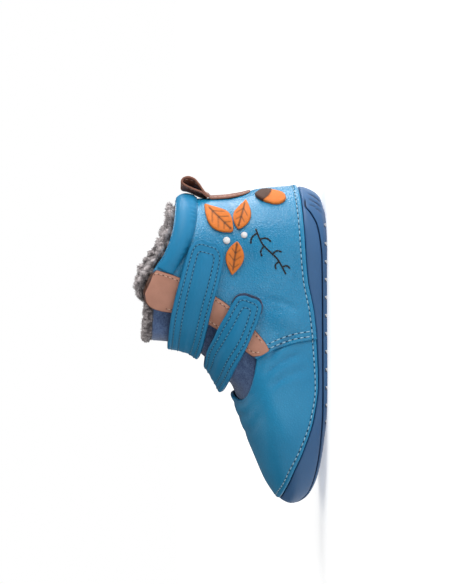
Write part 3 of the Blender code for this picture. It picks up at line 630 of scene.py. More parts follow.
def line_troughs(table, names, station, height):
    """Furrows along straight lines seen from the side, fading out at their ends."""
    depth = np.zeros_like(station)
    for row in table:
        sizes = dict(zip(names, row))
        run = sizes["to_station"] - sizes["from_station"]
        rise = sizes["to_height"] - sizes["from_height"]
        length = np.hypot(run, rise)
        along = ((station - sizes["from_station"]) * run + (height - sizes["from_height"]) * rise) / length
        aside = ((station - sizes["from_station"]) * rise - (height - sizes["from_height"]) * run) / length
        share = along / length
        bow = 0.06 * length * np.sin(np.pi * np.clip(share, 0, 1))
        fade = ease(share * 3 + 0.5) * ease((1 - share) * 3 + 0.5)
        depth = depth + sizes["depth"] * fade * trough(aside - bow, sizes["half_width"])
    return depth


def leather_relief(turn, level):
    """How far the leather rises or sinks: swellings, creases at the bend and the flex of the vamp."""
    station, side, height = unplace(ring_point(turn, level))
    rise = np.zeros_like(station)
    for row in PUFFS:
        sizes = dict(zip(PUFF_COLUMNS, row))
        along = (station - sizes["station"]) / sizes["reach_along"]
        up = (height - sizes["height"]) / sizes["reach_up"]
        rise = rise + sizes["rise"] * np.exp(-along ** 2 - up ** 2)
    rise = rise - line_troughs(CREASES, CREASE_COLUMNS, station, height)
    for row in FLEXES:
        sizes = dict(zip(FLEX_COLUMNS, row))
        across = (side - lean(station)) / 30
        line = sizes["station"] - sizes["sweep"] * across ** 2
        fade = np.clip(1 - across ** 4, 0, 1) * ease((height - 14) / 8)
        rise = rise - sizes["depth"] * fade * trough(station - line + np.sin(side * 0.4), sizes["half_width"])
    return rise


def rolled(distance, radius):
    """How far a face has dropped at a distance from its rounded edge."""
    share = np.clip(1 - distance / radius, 0, 1)
    return radius * (1 - np.sqrt(1 - share ** 2))


def edge_distance(points):
    """How far each point of a lattice lies from the lattice's nearest edge, in millimetres."""
    best = np.full(points.shape[:2], np.inf)
    for axis in (0, 1):
        steps = np.linalg.norm(np.diff(points, axis=axis), axis=2) / MM
        run = np.cumsum(steps, axis=axis)
        start = np.zeros_like(run.take([0], axis=axis))
        run = np.concatenate((start, run), axis=axis)
        end = run.take([-1], axis=axis)
        best = np.minimum(best, np.minimum(run, end - run))
    return best


# Meshes and pieces

def grid_sheet(points, under=None, marks=None):
    """A sheet of quads through a lattice of points, each holding its point of the far side and its marks."""
    rows, columns = points.shape[:2]
    sheet = bmesh.new()
    far_side = sheet.verts.layers.float_vector.new("far_side")
    layers = []
    for name, values in (marks or {}).items():
        layers.append((sheet.verts.layers.float.new(name), np.ravel(values)))
    bmesh.ops.create_grid(sheet, x_segments=columns - 1, y_segments=rows - 1, size=1)
    near_points = points.reshape(-1, 3)
    far_points = near_points if under is None else under.reshape(-1, 3)
    for number, vertex in enumerate(sheet.verts):
        vertex.co = near_points[number]
        vertex[far_side] = far_points[number]
        for layer, values in layers:
            vertex[layer] = values[number]
    return sheet, far_side


def closed_wall(points, under, gone=(), marks=None):
    """A solid wall between two lattices, without the quads whose numbers are in gone."""
    sheet, far_side = grid_sheet(points, under, marks)
    sheet.faces.ensure_lookup_table()
    bmesh.ops.delete(sheet, geom=[sheet.faces[number] for number in gone], context="FACES")
    bmesh.ops.remove_doubles(sheet, verts=sheet.verts, dist=MERGE)
    copied = bmesh.ops.extrude_face_region(sheet, geom=sheet.faces[:])
    for item in copied["geom"]:
        if isinstance(item, bmesh.types.BMVert):
            item.co = item[far_side]
    sheet.verts.layers.float_vector.remove(far_side)
    return sheet


def closed_loft(points, marks=None):
    """A solid whose lattice closes on itself."""
    sheet, far_side = grid_sheet(points, marks=marks)
    sheet.verts.layers.float_vector.remove(far_side)
    bmesh.ops.remove_doubles(sheet, verts=sheet.verts, dist=MERGE)
    return sheet


def add_object(name, sheet):
    """An object in the scene from a finished mesh."""
    mesh = bpy.data.meshes.new(name)
    sheet.to_mesh(mesh)
    sheet.free()
    thing = bpy.data.objects.new(name, mesh)
    bpy.context.scene.collection.objects.link(thing)
    return thing


def add_piece(name, sheet, finish, nodes=(), sharp=True):
    """An object of the boot from a finished mesh, riding on the boot and standing for its solids."""
    bmesh.ops.recalc_face_normals(sheet, faces=sheet.faces)
    thing = add_object(name, sheet)
    thing.data.shade_smooth()
    if sharp:
        thing.data.set_sharp_from_angle(angle=SHARP_ANGLE)
    thing.data.materials.append(finish)
    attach(thing, BODY)
    if nodes:
        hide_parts(*nodes)
    return thing


def add_ball(sheet, centre, axes, segments, rings):
    """A ball stretched along three axes, in metres."""
    matrix = Matrix.Translation(Vector(centre)) @ Matrix(np.transpose(axes)).to_4x4()
    bmesh.ops.create_uvsphere(sheet, u_segments=segments, v_segments=rings, radius=1, matrix=matrix)


def beads_along(rows, pitch, length, thick, tall, shift=0.0):
    """Rounded beads in rows: each row has points and outward directions."""
    sheet = bmesh.new()
    for points, normals in rows:
        run = run_along(points)
        count = max(1, int(run[-1] / pitch))
        middles = (np.arange(count) + 0.5 + shift) * run[-1] / count
        for middle in middles[middles <= run[-1]]:
            ends = middle - length / 2, middle, middle + length / 2
            start, centre, end = on_line(ends, run, points)
            up = unit(on_line(middle, run, normals))
            ahead = unit(end - start)
            aside = np.cross(up, ahead)
            axes = np.array((aside * thick, up * tall, ahead * length)) * MM / 2
            add_ball(sheet, centre, axes, 6, 5)
    return sheet


def stitched(name, rows, finish, stitch, hole_shade=None):
    """Rows of stitches: short rounded threads, with dark beads between them as painted shade of the needle
    holes.
    """
    pitch, length, thick = stitch
    add_piece(name, beads_along(rows, pitch, length, thick, thick * 0.84), finish, sharp=False)
    if hole_shade:
        # Painted shade: dark beads in the gaps between stitches, where the needle holes lie
        dark = beads_along(rows, pitch, (pitch - length) * 1.15, thick * 0.95, thick * 0.6, 0.5)
        add_piece(f"{name}_holes", dark, hole_shade, sharp=False)


def thread_line(turns, levels, out):
    """Points and directions for a row of stitches on the form."""
    return form(turns, levels, out), form_normal(turns, levels)


# Materials

class Value:
    """A socket of a material: sums and products of values add their Math nodes."""

    def __init__(self, finish, socket):
        self.finish = finish
        self.socket = socket

    def math(self, operation, first, second):
        return self.finish.node("ShaderNodeMath", {"operation": operation}, {0: first, 1: second})

    def __add__(self, other):
        return self.math("ADD", self, other)

    __radd__ = __add__

    def __sub__(self, other):
        return self.math("SUBTRACT", self, other)

    def __rsub__(self, other):
        return self.math("SUBTRACT", other, self)

    def __mul__(self, other):
        return self.math("MULTIPLY", self, other)

    __rmul__ = __mul__

    def limited(self, low, high):
        """The value spread from low to high onto 0 to 1, and held there."""
        inputs = {"Value": self, "From Min": low, "From Max": high}
        return self.finish.node("ShaderNodeMapRange", {"clamp": True}, inputs)


class Finish:
    """A material being made."""

    def __init__(self, name, roughness, **constants):
        self.material = bpy.data.materials.new(name)
        self.material.use_nodes = True
        self.tree = self.material.node_tree
        self.shader = self.tree.nodes["Principled BSDF"]
        self.shader.inputs["Roughness"].default_value = roughness
        for socket, value in constants.items():
            self.shader.inputs[socket.replace("_", " ")].default_value = value

    def feed(self, socket, value):
        """A value or a link into a socket."""
        if isinstance(value, Value):
            self.tree.links.new(value.socket, socket)
        else:
            socket.default_value = value

    def node(self, kind, settings=None, inputs=None, output=0):
        """Any node: its settings first, then its inputs, giving one of its outputs."""
        made = self.tree.nodes.new(kind)
        for name, value in (settings or {}).items():
            setattr(made, name, value)
        for name, value in (inputs or {}).items():
            self.feed(made.inputs[name], value)
        return Value(self, made.outputs[output])

    def here(self):
        """The place on the piece, in metres."""
        return self.node("ShaderNodeTexCoord", output="Object")

    def noise(self, scale, detail=2.0, roughness=0.5):
        """Soft noise of a size."""
        inputs = {"Vector": self.here(), "Scale": scale, "Detail": detail, "Roughness": roughness}
        return self.node("ShaderNodeTexNoise", None, inputs)

    def grain(self, scale):
        """Small raised cells with borders at 0 between them."""
        inputs = {"Vector": self.here(), "Scale": scale}
        cells = self.node("ShaderNodeTexVoronoi", {"feature": "DISTANCE_TO_EDGE"}, inputs, "Distance")
        return cells.limited(0, CELL_BORDER)

    def mark(self, name):
        """A mark stored on the piece's own points."""
        return self.node("ShaderNodeAttribute", {"attribute_name": name}, None, "Fac")

    def blend(self, share, first, second):
        """From one colour to another."""
        first = first if isinstance(first, Value) else (*first, 1)
        second = second if isinstance(second, Value) else (*second, 1)
        return self.node("ShaderNodeMix", {"data_type": "RGBA"}, {0: share, 6: first, 7: second}, 2)

    def colour(self, value):
        self.feed(self.shader.inputs["Base Color"], value)

    def rough(self, value):
        self.feed(self.shader.inputs["Roughness"], value)

    def bump(self, height, strength, depth_mm):
        """Fine relief from a height between 0 and 1."""
        inputs = {"Height": height, "Strength": strength, "Distance": depth_mm * MM}
        self.feed(self.shader.inputs["Normal"], self.node("ShaderNodeBump", None, inputs))


def quarter_leather():
    """Blue leather with a fine grain and a pearly sheen on the quarters, smoother on the vamp."""
    finish = Finish("blue_leather_upper", 0.42, Coat_Roughness=0.24, Specular_IOR_Level=0.38)
    vamp = finish.mark("vamp")
    recess_shade = finish.mark("recess_shade")
    grain = finish.grain(820)
    crinkle = finish.noise(520, 3, 0.6)
    pores = finish.noise(2400, 2)
    cloud = finish.noise(55, 3, 0.6)
    tone_and_crease_shade = finish.blend(cloud.limited(0.35, 0.7) * 0.35, BLUE, BLUE_LIGHT)
    tone_and_crease_shade = finish.blend((1 - grain) * 0.2, tone_and_crease_shade, BLUE_DEEP)
    # Painted shade: darker towards the deep blue in the leather's creases, hollows and stitch furrows
    tone_and_crease_shade = finish.blend(recess_shade.limited(0.1, 0.7) * 0.55, tone_and_crease_shade, BLUE_DEEP)
    finish.colour(finish.blend(finish.mark("rim"), tone_and_crease_shade, RAW_EDGE))
    finish.rough(0.2 + 0.12 * cloud + 0.14 * vamp)
    finish.feed(finish.shader.inputs["Coat Weight"], 0.34 * cloud * (1 - 0.6 * vamp))
    finish.bump((grain + 1.5 * crinkle) * (1 - 0.6 * vamp) + 0.35 * pores, 0.5, 0.2)
    return finish.material


def smooth_leather():
    """Blue leather of the straps and the cuff: close grain, soft gloss."""
    finish = Finish("blue_leather_smooth", 0.45, Specular_IOR_Level=0.22)
    cloud = finish.noise(70, 3, 0.6)
    grain = finish.grain(1700)
    edge = finish.mark("edge")
    tone = finish.blend(cloud.limited(0.35, 0.75) * 0.35, (0.009, 0.165, 0.325), (0.018, 0.195, 0.365))
    # Darker towards the deep blue along the rolled edges, and on the straps painted shade in the furrows of
    # the stitch rows
    finish.colour(finish.blend(edge * 0.6, tone, BLUE_DEEP))
    finish.rough(0.40 + 0.12 * cloud)
    finish.bump(grain + 0.5 * finish.noise(2400, 2), 0.22, 0.1)
    return finish.material


def moulded_rubber():
    """Matte violet blue rubber with a faint moulded texture."""
    finish = Finish("sole_rubber", 0.6, Specular_IOR_Level=0.5)
    cloud = finish.noise(35, 4, 0.6)
    speck = finish.noise(3200, 2)
    recess_shade = finish.mark("recess_shade")
    tone = finish.blend(cloud.limited(0.3, 0.75), (0.019, 0.088, 0.214), (0.028, 0.108, 0.248))
    # Painted shade: nearly black in the parting groove, the slanted heel cuts and where the rim tucks under
    # the leather's edge
    finish.colour(finish.blend(recess_shade.limited(0.05, 0.5), tone, (0.006, 0.013, 0.045)))
    finish.rough(0.38 + 0.14 * cloud)
    finish.bump(speck + 0.6 * finish.noise(700, 2), 0.18, 0.1)
    return finish.material


def tan_leather():
    """Smooth tan leather with darker cut edges."""
    finish = Finish("tan_leather", 0.5, Specular_IOR_Level=0.45)
    cloud = finish.noise(90, 4, 0.6)
    edge = finish.mark("edge")
    pores = finish.grain(1900)
    tone = finish.blend(cloud.limited(0.3, 0.75), (0.34, 0.150, 0.098), (0.465, 0.222, 0.154))
    finish.colour(finish.blend(edge.limited(0.25, 1), tone, (0.13, 0.05, 0.028)))
    finish.rough(0.42 + 0.2 * cloud)
    finish.bump(pores + 0.6 * finish.noise(1500, 3), 0.2, 0.1)
    return finish.material


def brown_leather():
    """Matt brown leather of the pull loop, with a painted highlight: lighter along its edges."""
    finish = Finish("brown_leather", 0.55)
    cloud = finish.noise(160, 4, 0.65)
    edge = finish.mark("edge")
    tone = finish.blend(cloud.limited(0.3, 0.75), (0.125, 0.042, 0.026), (0.215, 0.078, 0.046))
    # Painted highlight: the loop's edges lighter
    finish.colour(finish.blend(edge * 0.5, tone, (0.29, 0.122, 0.074)))
    finish.rough(0.48 + 0.2 * cloud)
    finish.bump(finish.noise(1400, 4, 0.65), 0.35, 0.16)
    return finish.material


def brushed_felt(name, deep, pale):
    """Felt of mixed fibres."""
    finish = Finish(name, 0.95, Sheen_Weight=0.35, Sheen_Roughness=0.5)
    fibres = finish.noise(1500, 4, 0.75)
    clumps = finish.noise(330, 3, 0.6)
    mixed = fibres * 0.7 + clumps * 0.3
    finish.colour(finish.blend(mixed.limited(0.38, 0.66), deep, pale))
    finish.rough(0.88 + 0.1 * clumps)
    finish.bump(fibres + clumps, 0.7, 0.35)
    return finish.material


def curly_pile():
    """Grey brown pile, paler towards the tips, with painted shade and painted light from its tip mark."""
    finish = Finish("grey_pile", 0.95, Sheen_Weight=0.4, Sheen_Roughness=0.5)
    tip = finish.mark("tip")
    lock = finish.mark("lock")
    fibres = finish.noise(2600, 3, 0.7)
    pale = finish.blend(lock, (0.33, 0.29, 0.29), (0.52, 0.47, 0.47))
    # The tip mark: paler hair tips, painted light on the tops of lumps and of the roll, painted shade in the
    # crevices and underneath
    finish.colour(finish.blend(tip.limited(0.2, 0.85), (0.075, 0.063, 0.066), pale))
    finish.bump(fibres, 0.4, 0.2)
    return finish.material


def sewing_thread(name, colour):
    """Twisted thread."""
    finish = Finish(name, 0.65, Specular_IOR_Level=0.3, Sheen_Weight=0.05)
    strands = finish.noise(3000, 2)
    finish.colour(finish.blend(strands.limited(0.3, 0.75), tuple(0.72 * part for part in colour), colour))
    finish.bump(strands, 0.5, 0.1)
    return finish.material


def embroidery(name, ground, second, vein):
    """Satin stitches side by side, in two colours and a vein, along the marks of a motif."""
    finish = Finish(name, 0.6, Specular_IOR_Level=0.25, Sheen_Weight=0.08, Sheen_Roughness=0.4)
    thread = finish.mark("thread")
    waves = finish.node("ShaderNodeMath", {"operation": "SINE"}, {0: thread * 13.0})
    ridge = waves * 0.5 + 0.5
    jitter = finish.noise(900, 3, 0.6)
    tone = finish.blend(jitter.limited(0.3, 0.7) * 0.5, ground, tuple(0.68 * part for part in ground))
    tone = finish.blend(finish.mark("second"), tone, second)
    tone = finish.blend(finish.mark("vein"), tone, vein)
    # Painted shade: darker in the grooves between the satin stitches
    finish.colour(finish.blend((1 - ridge) * 0.3, tone, tuple(0.4 * part for part in ground)))
    finish.bump(ridge + 0.5 * jitter, 0.6, 0.22)
    return finish.material


def plain_floor():
    """The pale floor, painted with light: it glows, more weakly near the boot than far off."""
    finish = Finish("floor_paper", 0.8, Specular_IOR_Level=0.1, Emission_Strength=1)
    finish.colour((*FLOOR_PAPER, 1))
    away = finish.node("ShaderNodeVectorMath", {"operation": "LENGTH"}, {0: finish.here()}, "Value")
    glow = finish.blend(away.limited(0.1, 0.8), NEAR_GLOW, FAR_GLOW)
    finish.feed(finish.shader.inputs["Emission Color"], glow)
    return finish.material


# Sole, insole and lining

def middle_row(points):
    """The points of a ring drawn in to the middle line, halfway between its two sides."""
    row = (points + points[::-1]) / 2
    station, _, _ = unplace(row)
    row[:, 1] = (lean(station) - CENTRE_SIDE) * MM
    return row


def spring(points):
    """How far the underside has risen at each point's station."""
    return smooth(*np.transpose(SPRING_LINE), unplace(points)[0]) * MM


def floor_ring(turn, out):
    """The outline of the floor inside the cup, at the floor's own height."""
    floor_line = [(station, rise + FLOOR_HEIGHT) for station, rise in SPRING_LINE]
    points = form(turn, line_level(floor_line, turn), out)
    points[:, 2] = FLOOR_HEIGHT * MM + spring(points)
    return points


def tread_cutter():
    """The cross grooves of the tread, as one cutter."""
    cutter = bmesh.new()
    for number in range(TREAD_COUNT):
        station = TREAD_FIRST + number * TREAD_PITCH
        rise = smooth(*np.transpose(SPRING_LINE), station)
        bar = bmesh.ops.create_cube(cutter, size=1)["verts"]
        sizes = Vector((TREAD_WIDTH, 2 * CUTTER_HALF_WIDTH, 2 * TREAD_DEPTH)) * MM
        bmesh.ops.scale(cutter, verts=bar, vec=sizes)
        bmesh.ops.translate(cutter, verts=bar, vec=place(station, 0, rise))
    return add_object("tread_cutter", cutter)


def cut_by(thing, cutter):
    """The piece with the cutter's shape taken away, for good."""
    change = thing.modifiers.new("cut", "BOOLEAN")
    change.operation = "DIFFERENCE"
    change.object = cutter
    seen = thing.evaluated_get(bpy.context.evaluated_depsgraph_get())
    mesh = bpy.data.meshes.new_from_object(seen)
    thing.modifiers.clear()
    old = thing.data
    thing.data = mesh
    bpy.data.meshes.remove(old)
    mesh.name = thing.name
    mesh.set_sharp_from_angle(angle=SHARP_ANGLE)
    bpy.data.objects.remove(cutter, do_unlink=True)


def make_sole():
    """The cup sole: underside, tread layer, parting groove, swelling side, rim, lip and floor."""
    turn = np.linspace(-1, 1, SOLE_COLUMNS + 1)
    groove = groove_level(turn)
    rim = edge_level(turn) - GROOVE_HALF
    ground = form(turn, 0, 0)
    rows = [middle_row(ground), ground]
    recess_shade = [np.zeros_like(turn), np.zeros_like(turn)]

    # A row's dark share is painted shade, added to the painted shade in the heel cuts
    def add_row(level, out, dark=0.0):
        station, _, height = unplace(form(turn, level, out))
        cut = np.clip(line_troughs(HEEL_CUTS, HEEL_CUT_COLUMNS, station, height), 0, None)
        rows.append(form(turn, level, out - cut))
        recess_shade.append(np.clip(dark + cut, 0, 1))

    for share in (0.08, 0.2, 0.32, 0.44, 0.56, 0.68, 0.8, 0.9):
        add_row(groove * share, TREAD_OUT * ease(share * 3))
    open_groove = ease((unplace(form(turn, groove, 0))[0] - GROOVE_START) / GROOVE_FADE)
    filled = TREAD_OUT * (1 - open_groove)
    add_row(groove - 1.6 * GROOVE_HALF, TREAD_OUT)
    add_row(groove - GROOVE_HALF, TREAD_OUT - 0.15 * open_groove)
    # The open groove's floor carries painted shade
    add_row(groove - 0.8 * GROOVE_HALF, filled + GROOVE_OUT * open_groove, open_groove)
    add_row(groove + 0.8 * GROOVE_HALF, filled + GROOVE_OUT * open_groove, open_groove)
    add_row(groove + GROOVE_HALF, filled - 0.12 * open_groove)
    low = groove + 1.7 * GROOVE_HALF
    for share in np.linspace(0, 1, 17):
        swell = 0.35 * np.sin(np.pi * share) ** 0.7 * np.clip((rim - low) / 0.6, 0, 1)
        add_row(low + share * (rim - 0.06 - low), swell + filled * (1 - share))
    add_row(rim - 0.02, -0.12)
    # Painted shade where the rim meets the leather's edge
    add_row(rim, -0.35, 0.3)
    for level, out in ((rim, LIP_OUT), (rim + LIP_RISE, LIP_OUT), (rim + LIP_RISE, LIP_IN)):
        add_row(level, out)
    floor = floor_ring(turn, LIP_IN)
    rows += [floor, middle_row(floor)]
    recess_shade += [np.zeros_like(turn), np.zeros_like(turn)]
    sheet = closed_loft(np.array(rows), {"recess_shade": np.array(recess_shade)})
    sole = add_piece("sole_rubber", sheet, moulded_rubber(), ("sole",))
    cut_by(sole, tread_cutter())


def make_insole():
    """The woolly foot bed."""
    turn = np.linspace(-1, 1, 161)
    lower = floor_ring(turn, INSOLE_OUT)
    lower[:, 2] += GAP * MM
    middle = middle_row(lower)
    rows = [middle, lower]
    for share, drop in ((0, 0.5), (0.02, 0.15), (0.05, 0)):
        ring = lower + (middle - lower) * share
        ring[:, 2] += (INSOLE_THICK - drop) * MM
        rows.append(ring)
    for share in np.linspace(0.1, 1, 22):
        ring = lower + (middle - lower) * share
        wool = 0.16 * np.sin(ring[:, 0] / MM * 1.9) * np.cos(ring[:, 1] / MM * 2.3) * (share < 1)
        ring[:, 2] += (INSOLE_THICK + wool) * MM
        rows.append(ring)
    finish = brushed_felt("foot_bed_wool", (0.20, 0.17, 0.16), (0.42, 0.38, 0.36))
    add_piece("foot_bed", closed_loft(np.array(rows)), finish, ("insole",))


def make_lining(finish):
    """The short pile inside the quarters, from the foot bed to the collar."""
    end_turn, _ = spot(60, 40)
    turn = np.linspace(-end_turn, end_turn, 200)
    share = np.linspace(0, 1, 70)[:, None]
    low = edge_level(turn) + LIP_RISE + 0.15
    level = low + (collar_level(turn) - 0.55 - low) * share
    lump = np.sin(turn * 190 + 3 * np.sin(share * 31)) * np.sin(share * 120 + 2 * np.sin(turn * 40))
    out = -3.0 - 0.5 * lump - 0.3 * np.sin(turn * 77) * np.sin(share * 49)
    points = form(turn, level, out)
    # The tip mark follows the lumps: painted shade in the pile's hollows, lighter on its swellings
    marks = {"tip": 0.45 + 0.3 * lump, "lock": 0.5 + 0 * lump}
    sheet = closed_wall(form(turn, level, WALL_IN - 0.15), points, marks=marks)
    add_piece("lining_pile", sheet, finish)


# Upper

def upper_lattice(quarter_columns, vamp_columns, low_rows, high_rows):
    """Turns, levels and distances past the seam, from the lower edge up, and the columns of a vamp side."""
    low_turns, low_levels = boundary(SEAM_LINE, low_rows)
    high_turns, high_levels = boundary(THROAT_LINE, high_rows)
    fronts = np.concatenate((low_turns, high_turns))
    front_levels = np.concatenate((low_levels, high_levels))
    seam_steps = np.array(LAP_PAST[:-1])
    turns = []
    levels = []
    past = []
    for row, (front, front_level) in enumerate(zip(fronts, front_levels)):
        per_mm = MM / np.linalg.norm(form_slopes(np.array(front), np.array(front_level))[0])
        steps = front + seam_steps * per_mm
        quarter = steps[0] * np.linspace(0, 1, quarter_columns)[:-1]
        vamp = steps[-1] + (1 - steps[-1]) * np.linspace(0, 1, vamp_columns)[1:]
        half = np.concatenate((quarter, steps, vamp))
        turn = np.concatenate((-half[:0:-1], half))
        foot = throat_foot_level(turn)
        below, above = (edge_level(turn), foot) if row < len(low_rows) else (foot, collar_level(turn))
        middle = len(half) - 1
        low = np.interp(front, half, below[middle:])
        high = np.interp(front, half, above[middle:])
        share = np.clip((front_level - low) / (high - low), 0, 1)
        turns.append(turn)
        levels.append(below + share * (above - below))
        past.append((np.abs(turn) - front) / per_mm)
    return np.array(turns), np.array(levels), np.array(past), len(vamp) + 3


def make_upper():
    """The leather wall: quarters lapped over the vamp, a stitched lower margin and the creases."""
    margin_rows = (0, 0.006, 0.016, 0.03, 0.045, 0.06, 0.075, 0.09)
    foot_rows = (0.974, 0.982, 0.989, 0.995, 1)
    low_rows = np.concatenate((margin_rows, np.linspace(0.12, 0.965, 29), foot_rows))
    high_rows = np.linspace(0.025, 1, THROAT_ROWS)
    turns, levels, past, vamp_side = upper_lattice(QUARTER_COLUMNS, VAMP_COLUMNS, low_rows, high_rows)
    columns = turns.shape[1] - 1
    gone = []
    for row in range(len(low_rows) - 1, len(turns) - 1):
        gone += range(row * columns, row * columns + vamp_side)
        gone += range((row + 1) * columns - vamp_side, (row + 1) * columns)
    lap = smooth(LAP_PAST, LAP_OUT, past)
    _, per_level = stretches(turns, levels)
    above = np.clip((levels - edge_level(turns)) * per_level, 0, None)
    margin = 0.12 * bell(above - 1.0, UPPER_FURROW) - 0.25 * bell(above - MARGIN_ROW, UPPER_FURROW)
    margin = margin - rolled(above, 0.6)
    seam_rows = sum(bell(past + inset, UPPER_FURROW) for inset in SEAM_ROWS)
    relief = leather_relief(turns, levels) * ease((above - 1.5) / 6) * np.clip(1 - 0.4 * seam_rows, 0, 1)
    high = np.arange(len(turns))[:, None] >= len(low_rows)
    below_foot = np.clip((throat_foot_level(turns) - levels) * per_level, 0, None)
    out = lap + margin + relief - 0.2 * seam_rows - rolled(below_foot, 0.9) * ease(past) * (~high)
    station, _, _ = unplace(ring_point(turns, levels))
    below_top = (collar_level(turns) - levels) * per_level
    beside = ease((past + 1.7) / 0.6) * high
    top = ease((1.7 - below_top) / 0.6) * ease((station - CUFF_END[1][0] - 1) / 1.5)
    # Painted shade in the hollows and creases of the relief and in the stitch furrows behind the seams
    recess_shade = np.clip(-relief * 1.4, 0, 1) + 0.4 * seam_rows * (past < 0)
    marks = {"vamp": ease(past + 0.5), "recess_shade": recess_shade, "rim": np.maximum(beside, top)}
    sheet = closed_wall(form(turns, levels, out), form(turns, levels, WALL_IN), gone, marks)
    add_piece("upper_leather", sheet, quarter_leather(), ("upper",))


def make_upper_stitches(thread, hole_shade):
    """The row round the lower margin, and the two rows behind each seam."""
    rows = []
    turn = np.linspace(-1, 1, 500)
    level = edge_level(turn)
    _, per_level = stretches(turn, level)
    seam_turn, _ = spot(*SEAM_LINE[0])
    out = np.where(np.abs(turn) < seam_turn, QUARTER_OUT, VAMP_OUT) - 0.1
    rows.append(thread_line(turn, level + MARGIN_ROW / per_level, out))
    for side in (-1, 1):
        for inset in SEAM_ROWS:
            turns, levels = boundary(SEAM_LINE, np.linspace(0.1, 0.96, 60))
            per_turn, _ = stretches(turns, levels)
            turns = side * (turns - inset / per_turn)
            relief = leather_relief(turns, levels) * 0.6
            rows.append(thread_line(turns, levels, QUARTER_OUT - 0.1 + relief))
    stitched("upper_stitches", rows, thread, UPPER_STITCH, hole_shade)


# Tongue and collar

def throat_turn(level):
    """The turn of the throat's edge at a level, held at its ends."""
    turns, levels = boundary(THROAT_LINE[:-2], np.linspace(0, 1, 20))
    return np.interp(level, levels, turns)


def tongue_lattice(rows, columns):
    """Turns, levels and how far each point lies under the throat's edge, 0 there and 1 at the middle."""
    share = np.linspace(-1, 1, columns)
    corner_turn, _ = spot(*SEAM_LINE[-1])
    tops = TONGUE_TOP_MID + (TONGUE_TOP_EDGE - TONGUE_TOP_MID) * share ** 2
    feet = throat_foot_level(1 - np.abs(share) * (1 - corner_turn)) - TONGUE_FOOT
    level = feet + (tops - feet) * np.linspace(0, 1, rows)[:, None]
    reach = 1 - throat_turn(level) + TONGUE_TUCK
    inside = np.clip((1 - np.abs(share)) * reach - TONGUE_TUCK, 0, None) / (reach - TONGUE_TUCK)
    return 1 + share * reach, level, inside


def tongue_out(turn, level, inside):
    """How far the face of the tongue stands from the form: low under the leather, crowned in the open."""
    above = np.clip((level - throat_foot_level(1 - np.abs(1 - turn)) - 0.15) / 0.8, 0, 1)
    crown = ease(inside * 2) * ease(above)
    return TONGUE_UNDER + (TONGUE_CROWN - TONGUE_UNDER) * crown


def make_tongue():
    """The padded felt tongue."""
    turns, levels, inside = tongue_lattice(TONGUE_ROWS, TONGUE_COLUMNS)
    face = tongue_out(turns, levels, inside)
    middle = form(turns, levels, face)
    sink = rolled(edge_distance(middle), 1.6)
    sheet = closed_wall(form(turns, levels, face - sink), form(turns, levels, face - TONGUE_THICK + sink))
    finish = brushed_felt("navy_felt", (0.030, 0.060, 0.152), (0.120, 0.198, 0.372))
    tongue = add_piece("tongue_felt", sheet, finish, ("tongue",))


def make_cuff(leather):
    """The padded roll round the collar, drawn down to a seam below and at its slanted ends."""
    share = crowded(44)[:, None]
    end_turn, _ = spot(*np.transpose(CUFF_END[0] + np.subtract(*CUFF_END[::-1]) * share))
    side = np.linspace(-1, 1, 260)
    turn = end_turn[:, None] * side
    foot = line_level([(station, height - CUFF_TALL) for station, height in COLLAR_LINE], turn)
    level = foot + (collar_level(turn) - CUFF_TOP_GAP - foot) * share
    bulge = CUFF_BULGE * (1 - CUFF_END_FLAT * side ** 8)
    body = np.sin(np.pi * np.clip((share - 0.05) / 0.95, 0, 1)) ** 0.7
    pucker = 0.14 * np.sin(turn * 150 + 4 * np.sin(turn * 31)) * bell(share - 0.15, 0.12)
    out = OVERLAY_IN + CUFF_HEM + bulge * body + pucker * (1 - side ** 8)
    points = form(turn, level, out)
    out = out - rolled(edge_distance(points), 0.4)
    marks = {"edge": bell(share, 0.05) + 0 * turn}
    sheet = closed_wall(form(turn, level, out), form(turn, level, OVERLAY_IN), marks=marks)
    cuff = add_piece("collar_cuff_leather", sheet, leather, ("collar_cuff",))


# Facings, straps and tapes

def panel(name, turns, levels, radius, finish, nodes, lift=0.0, marks=None):
    """A sewn-on panel of leather or cloth with a rounded edge."""
    far = edge_distance(form(turns, levels, OVERLAY_OUT))
    every = {"edge": ease(1 - far / radius), **(marks or {})}
    face = form(turns, levels, OVERLAY_OUT + lift - rolled(far, radius))
    sheet = closed_wall(face, form(turns, levels, OVERLAY_IN), marks=every)
    add_piece(name, sheet, finish, nodes)


def make_facings(thread, hole_shade):
    """The tan bands along the throat, each with a row of stitches near both edges."""
    leather = tan_leather()
    rows = []
    for side, word in ((1, "lateral"), (-1, "medial")):
        node = f"facing_{word}"
        turns, levels = lattice_between(FACING, FACING_COLUMNS, FACING_DRAWN_ROWS, crowded(26), side)
        panel(f"{node}_leather", turns, levels, 0.5, leather, (node,))
        hundredths = np.linspace(0, 1, 101)
        turns, levels = lattice_between(FACING, FACING_COLUMNS, FACING_DRAWN_ROWS, hundredths, side)
        points = form(turns, levels, OVERLAY_OUT)
        width = np.linalg.norm(points[:, -1] - points[:, 0], axis=1) / MM
        for inset, first, last in FACING_ROWS:
            picked = np.arange(first, last)
            share = inset / width[picked] + (inset < 0)
            picks = np.clip(share * 100, 0, 100).astype(int)
            rows.append(thread_line(turns[picked, picks], levels[picked, picks], OVERLAY_OUT + 0.05))
    stitched("facing_stitches", rows, thread, FACING_STITCH, hole_shade)


def strap_line(table, at, inset):
    """Turns, levels and half widths of a strap, drawn in by an inset and going straight on past its tip."""
    turns, levels, lengths = path_on_form(table, STRAP_COLUMNS)
    past = np.clip(at - lengths[-1], 0, None) / (lengths[-1] - lengths[-2])
    turn = smooth(lengths, turns, at) + (turns[-1] - turns[-2]) * past
    level = smooth(lengths, levels, at) + (levels[-1] - levels[-2]) * past
    half = smooth(lengths, column(table, STRAP_COLUMNS, "width"), at) / 2 - inset
    return turn, level, half


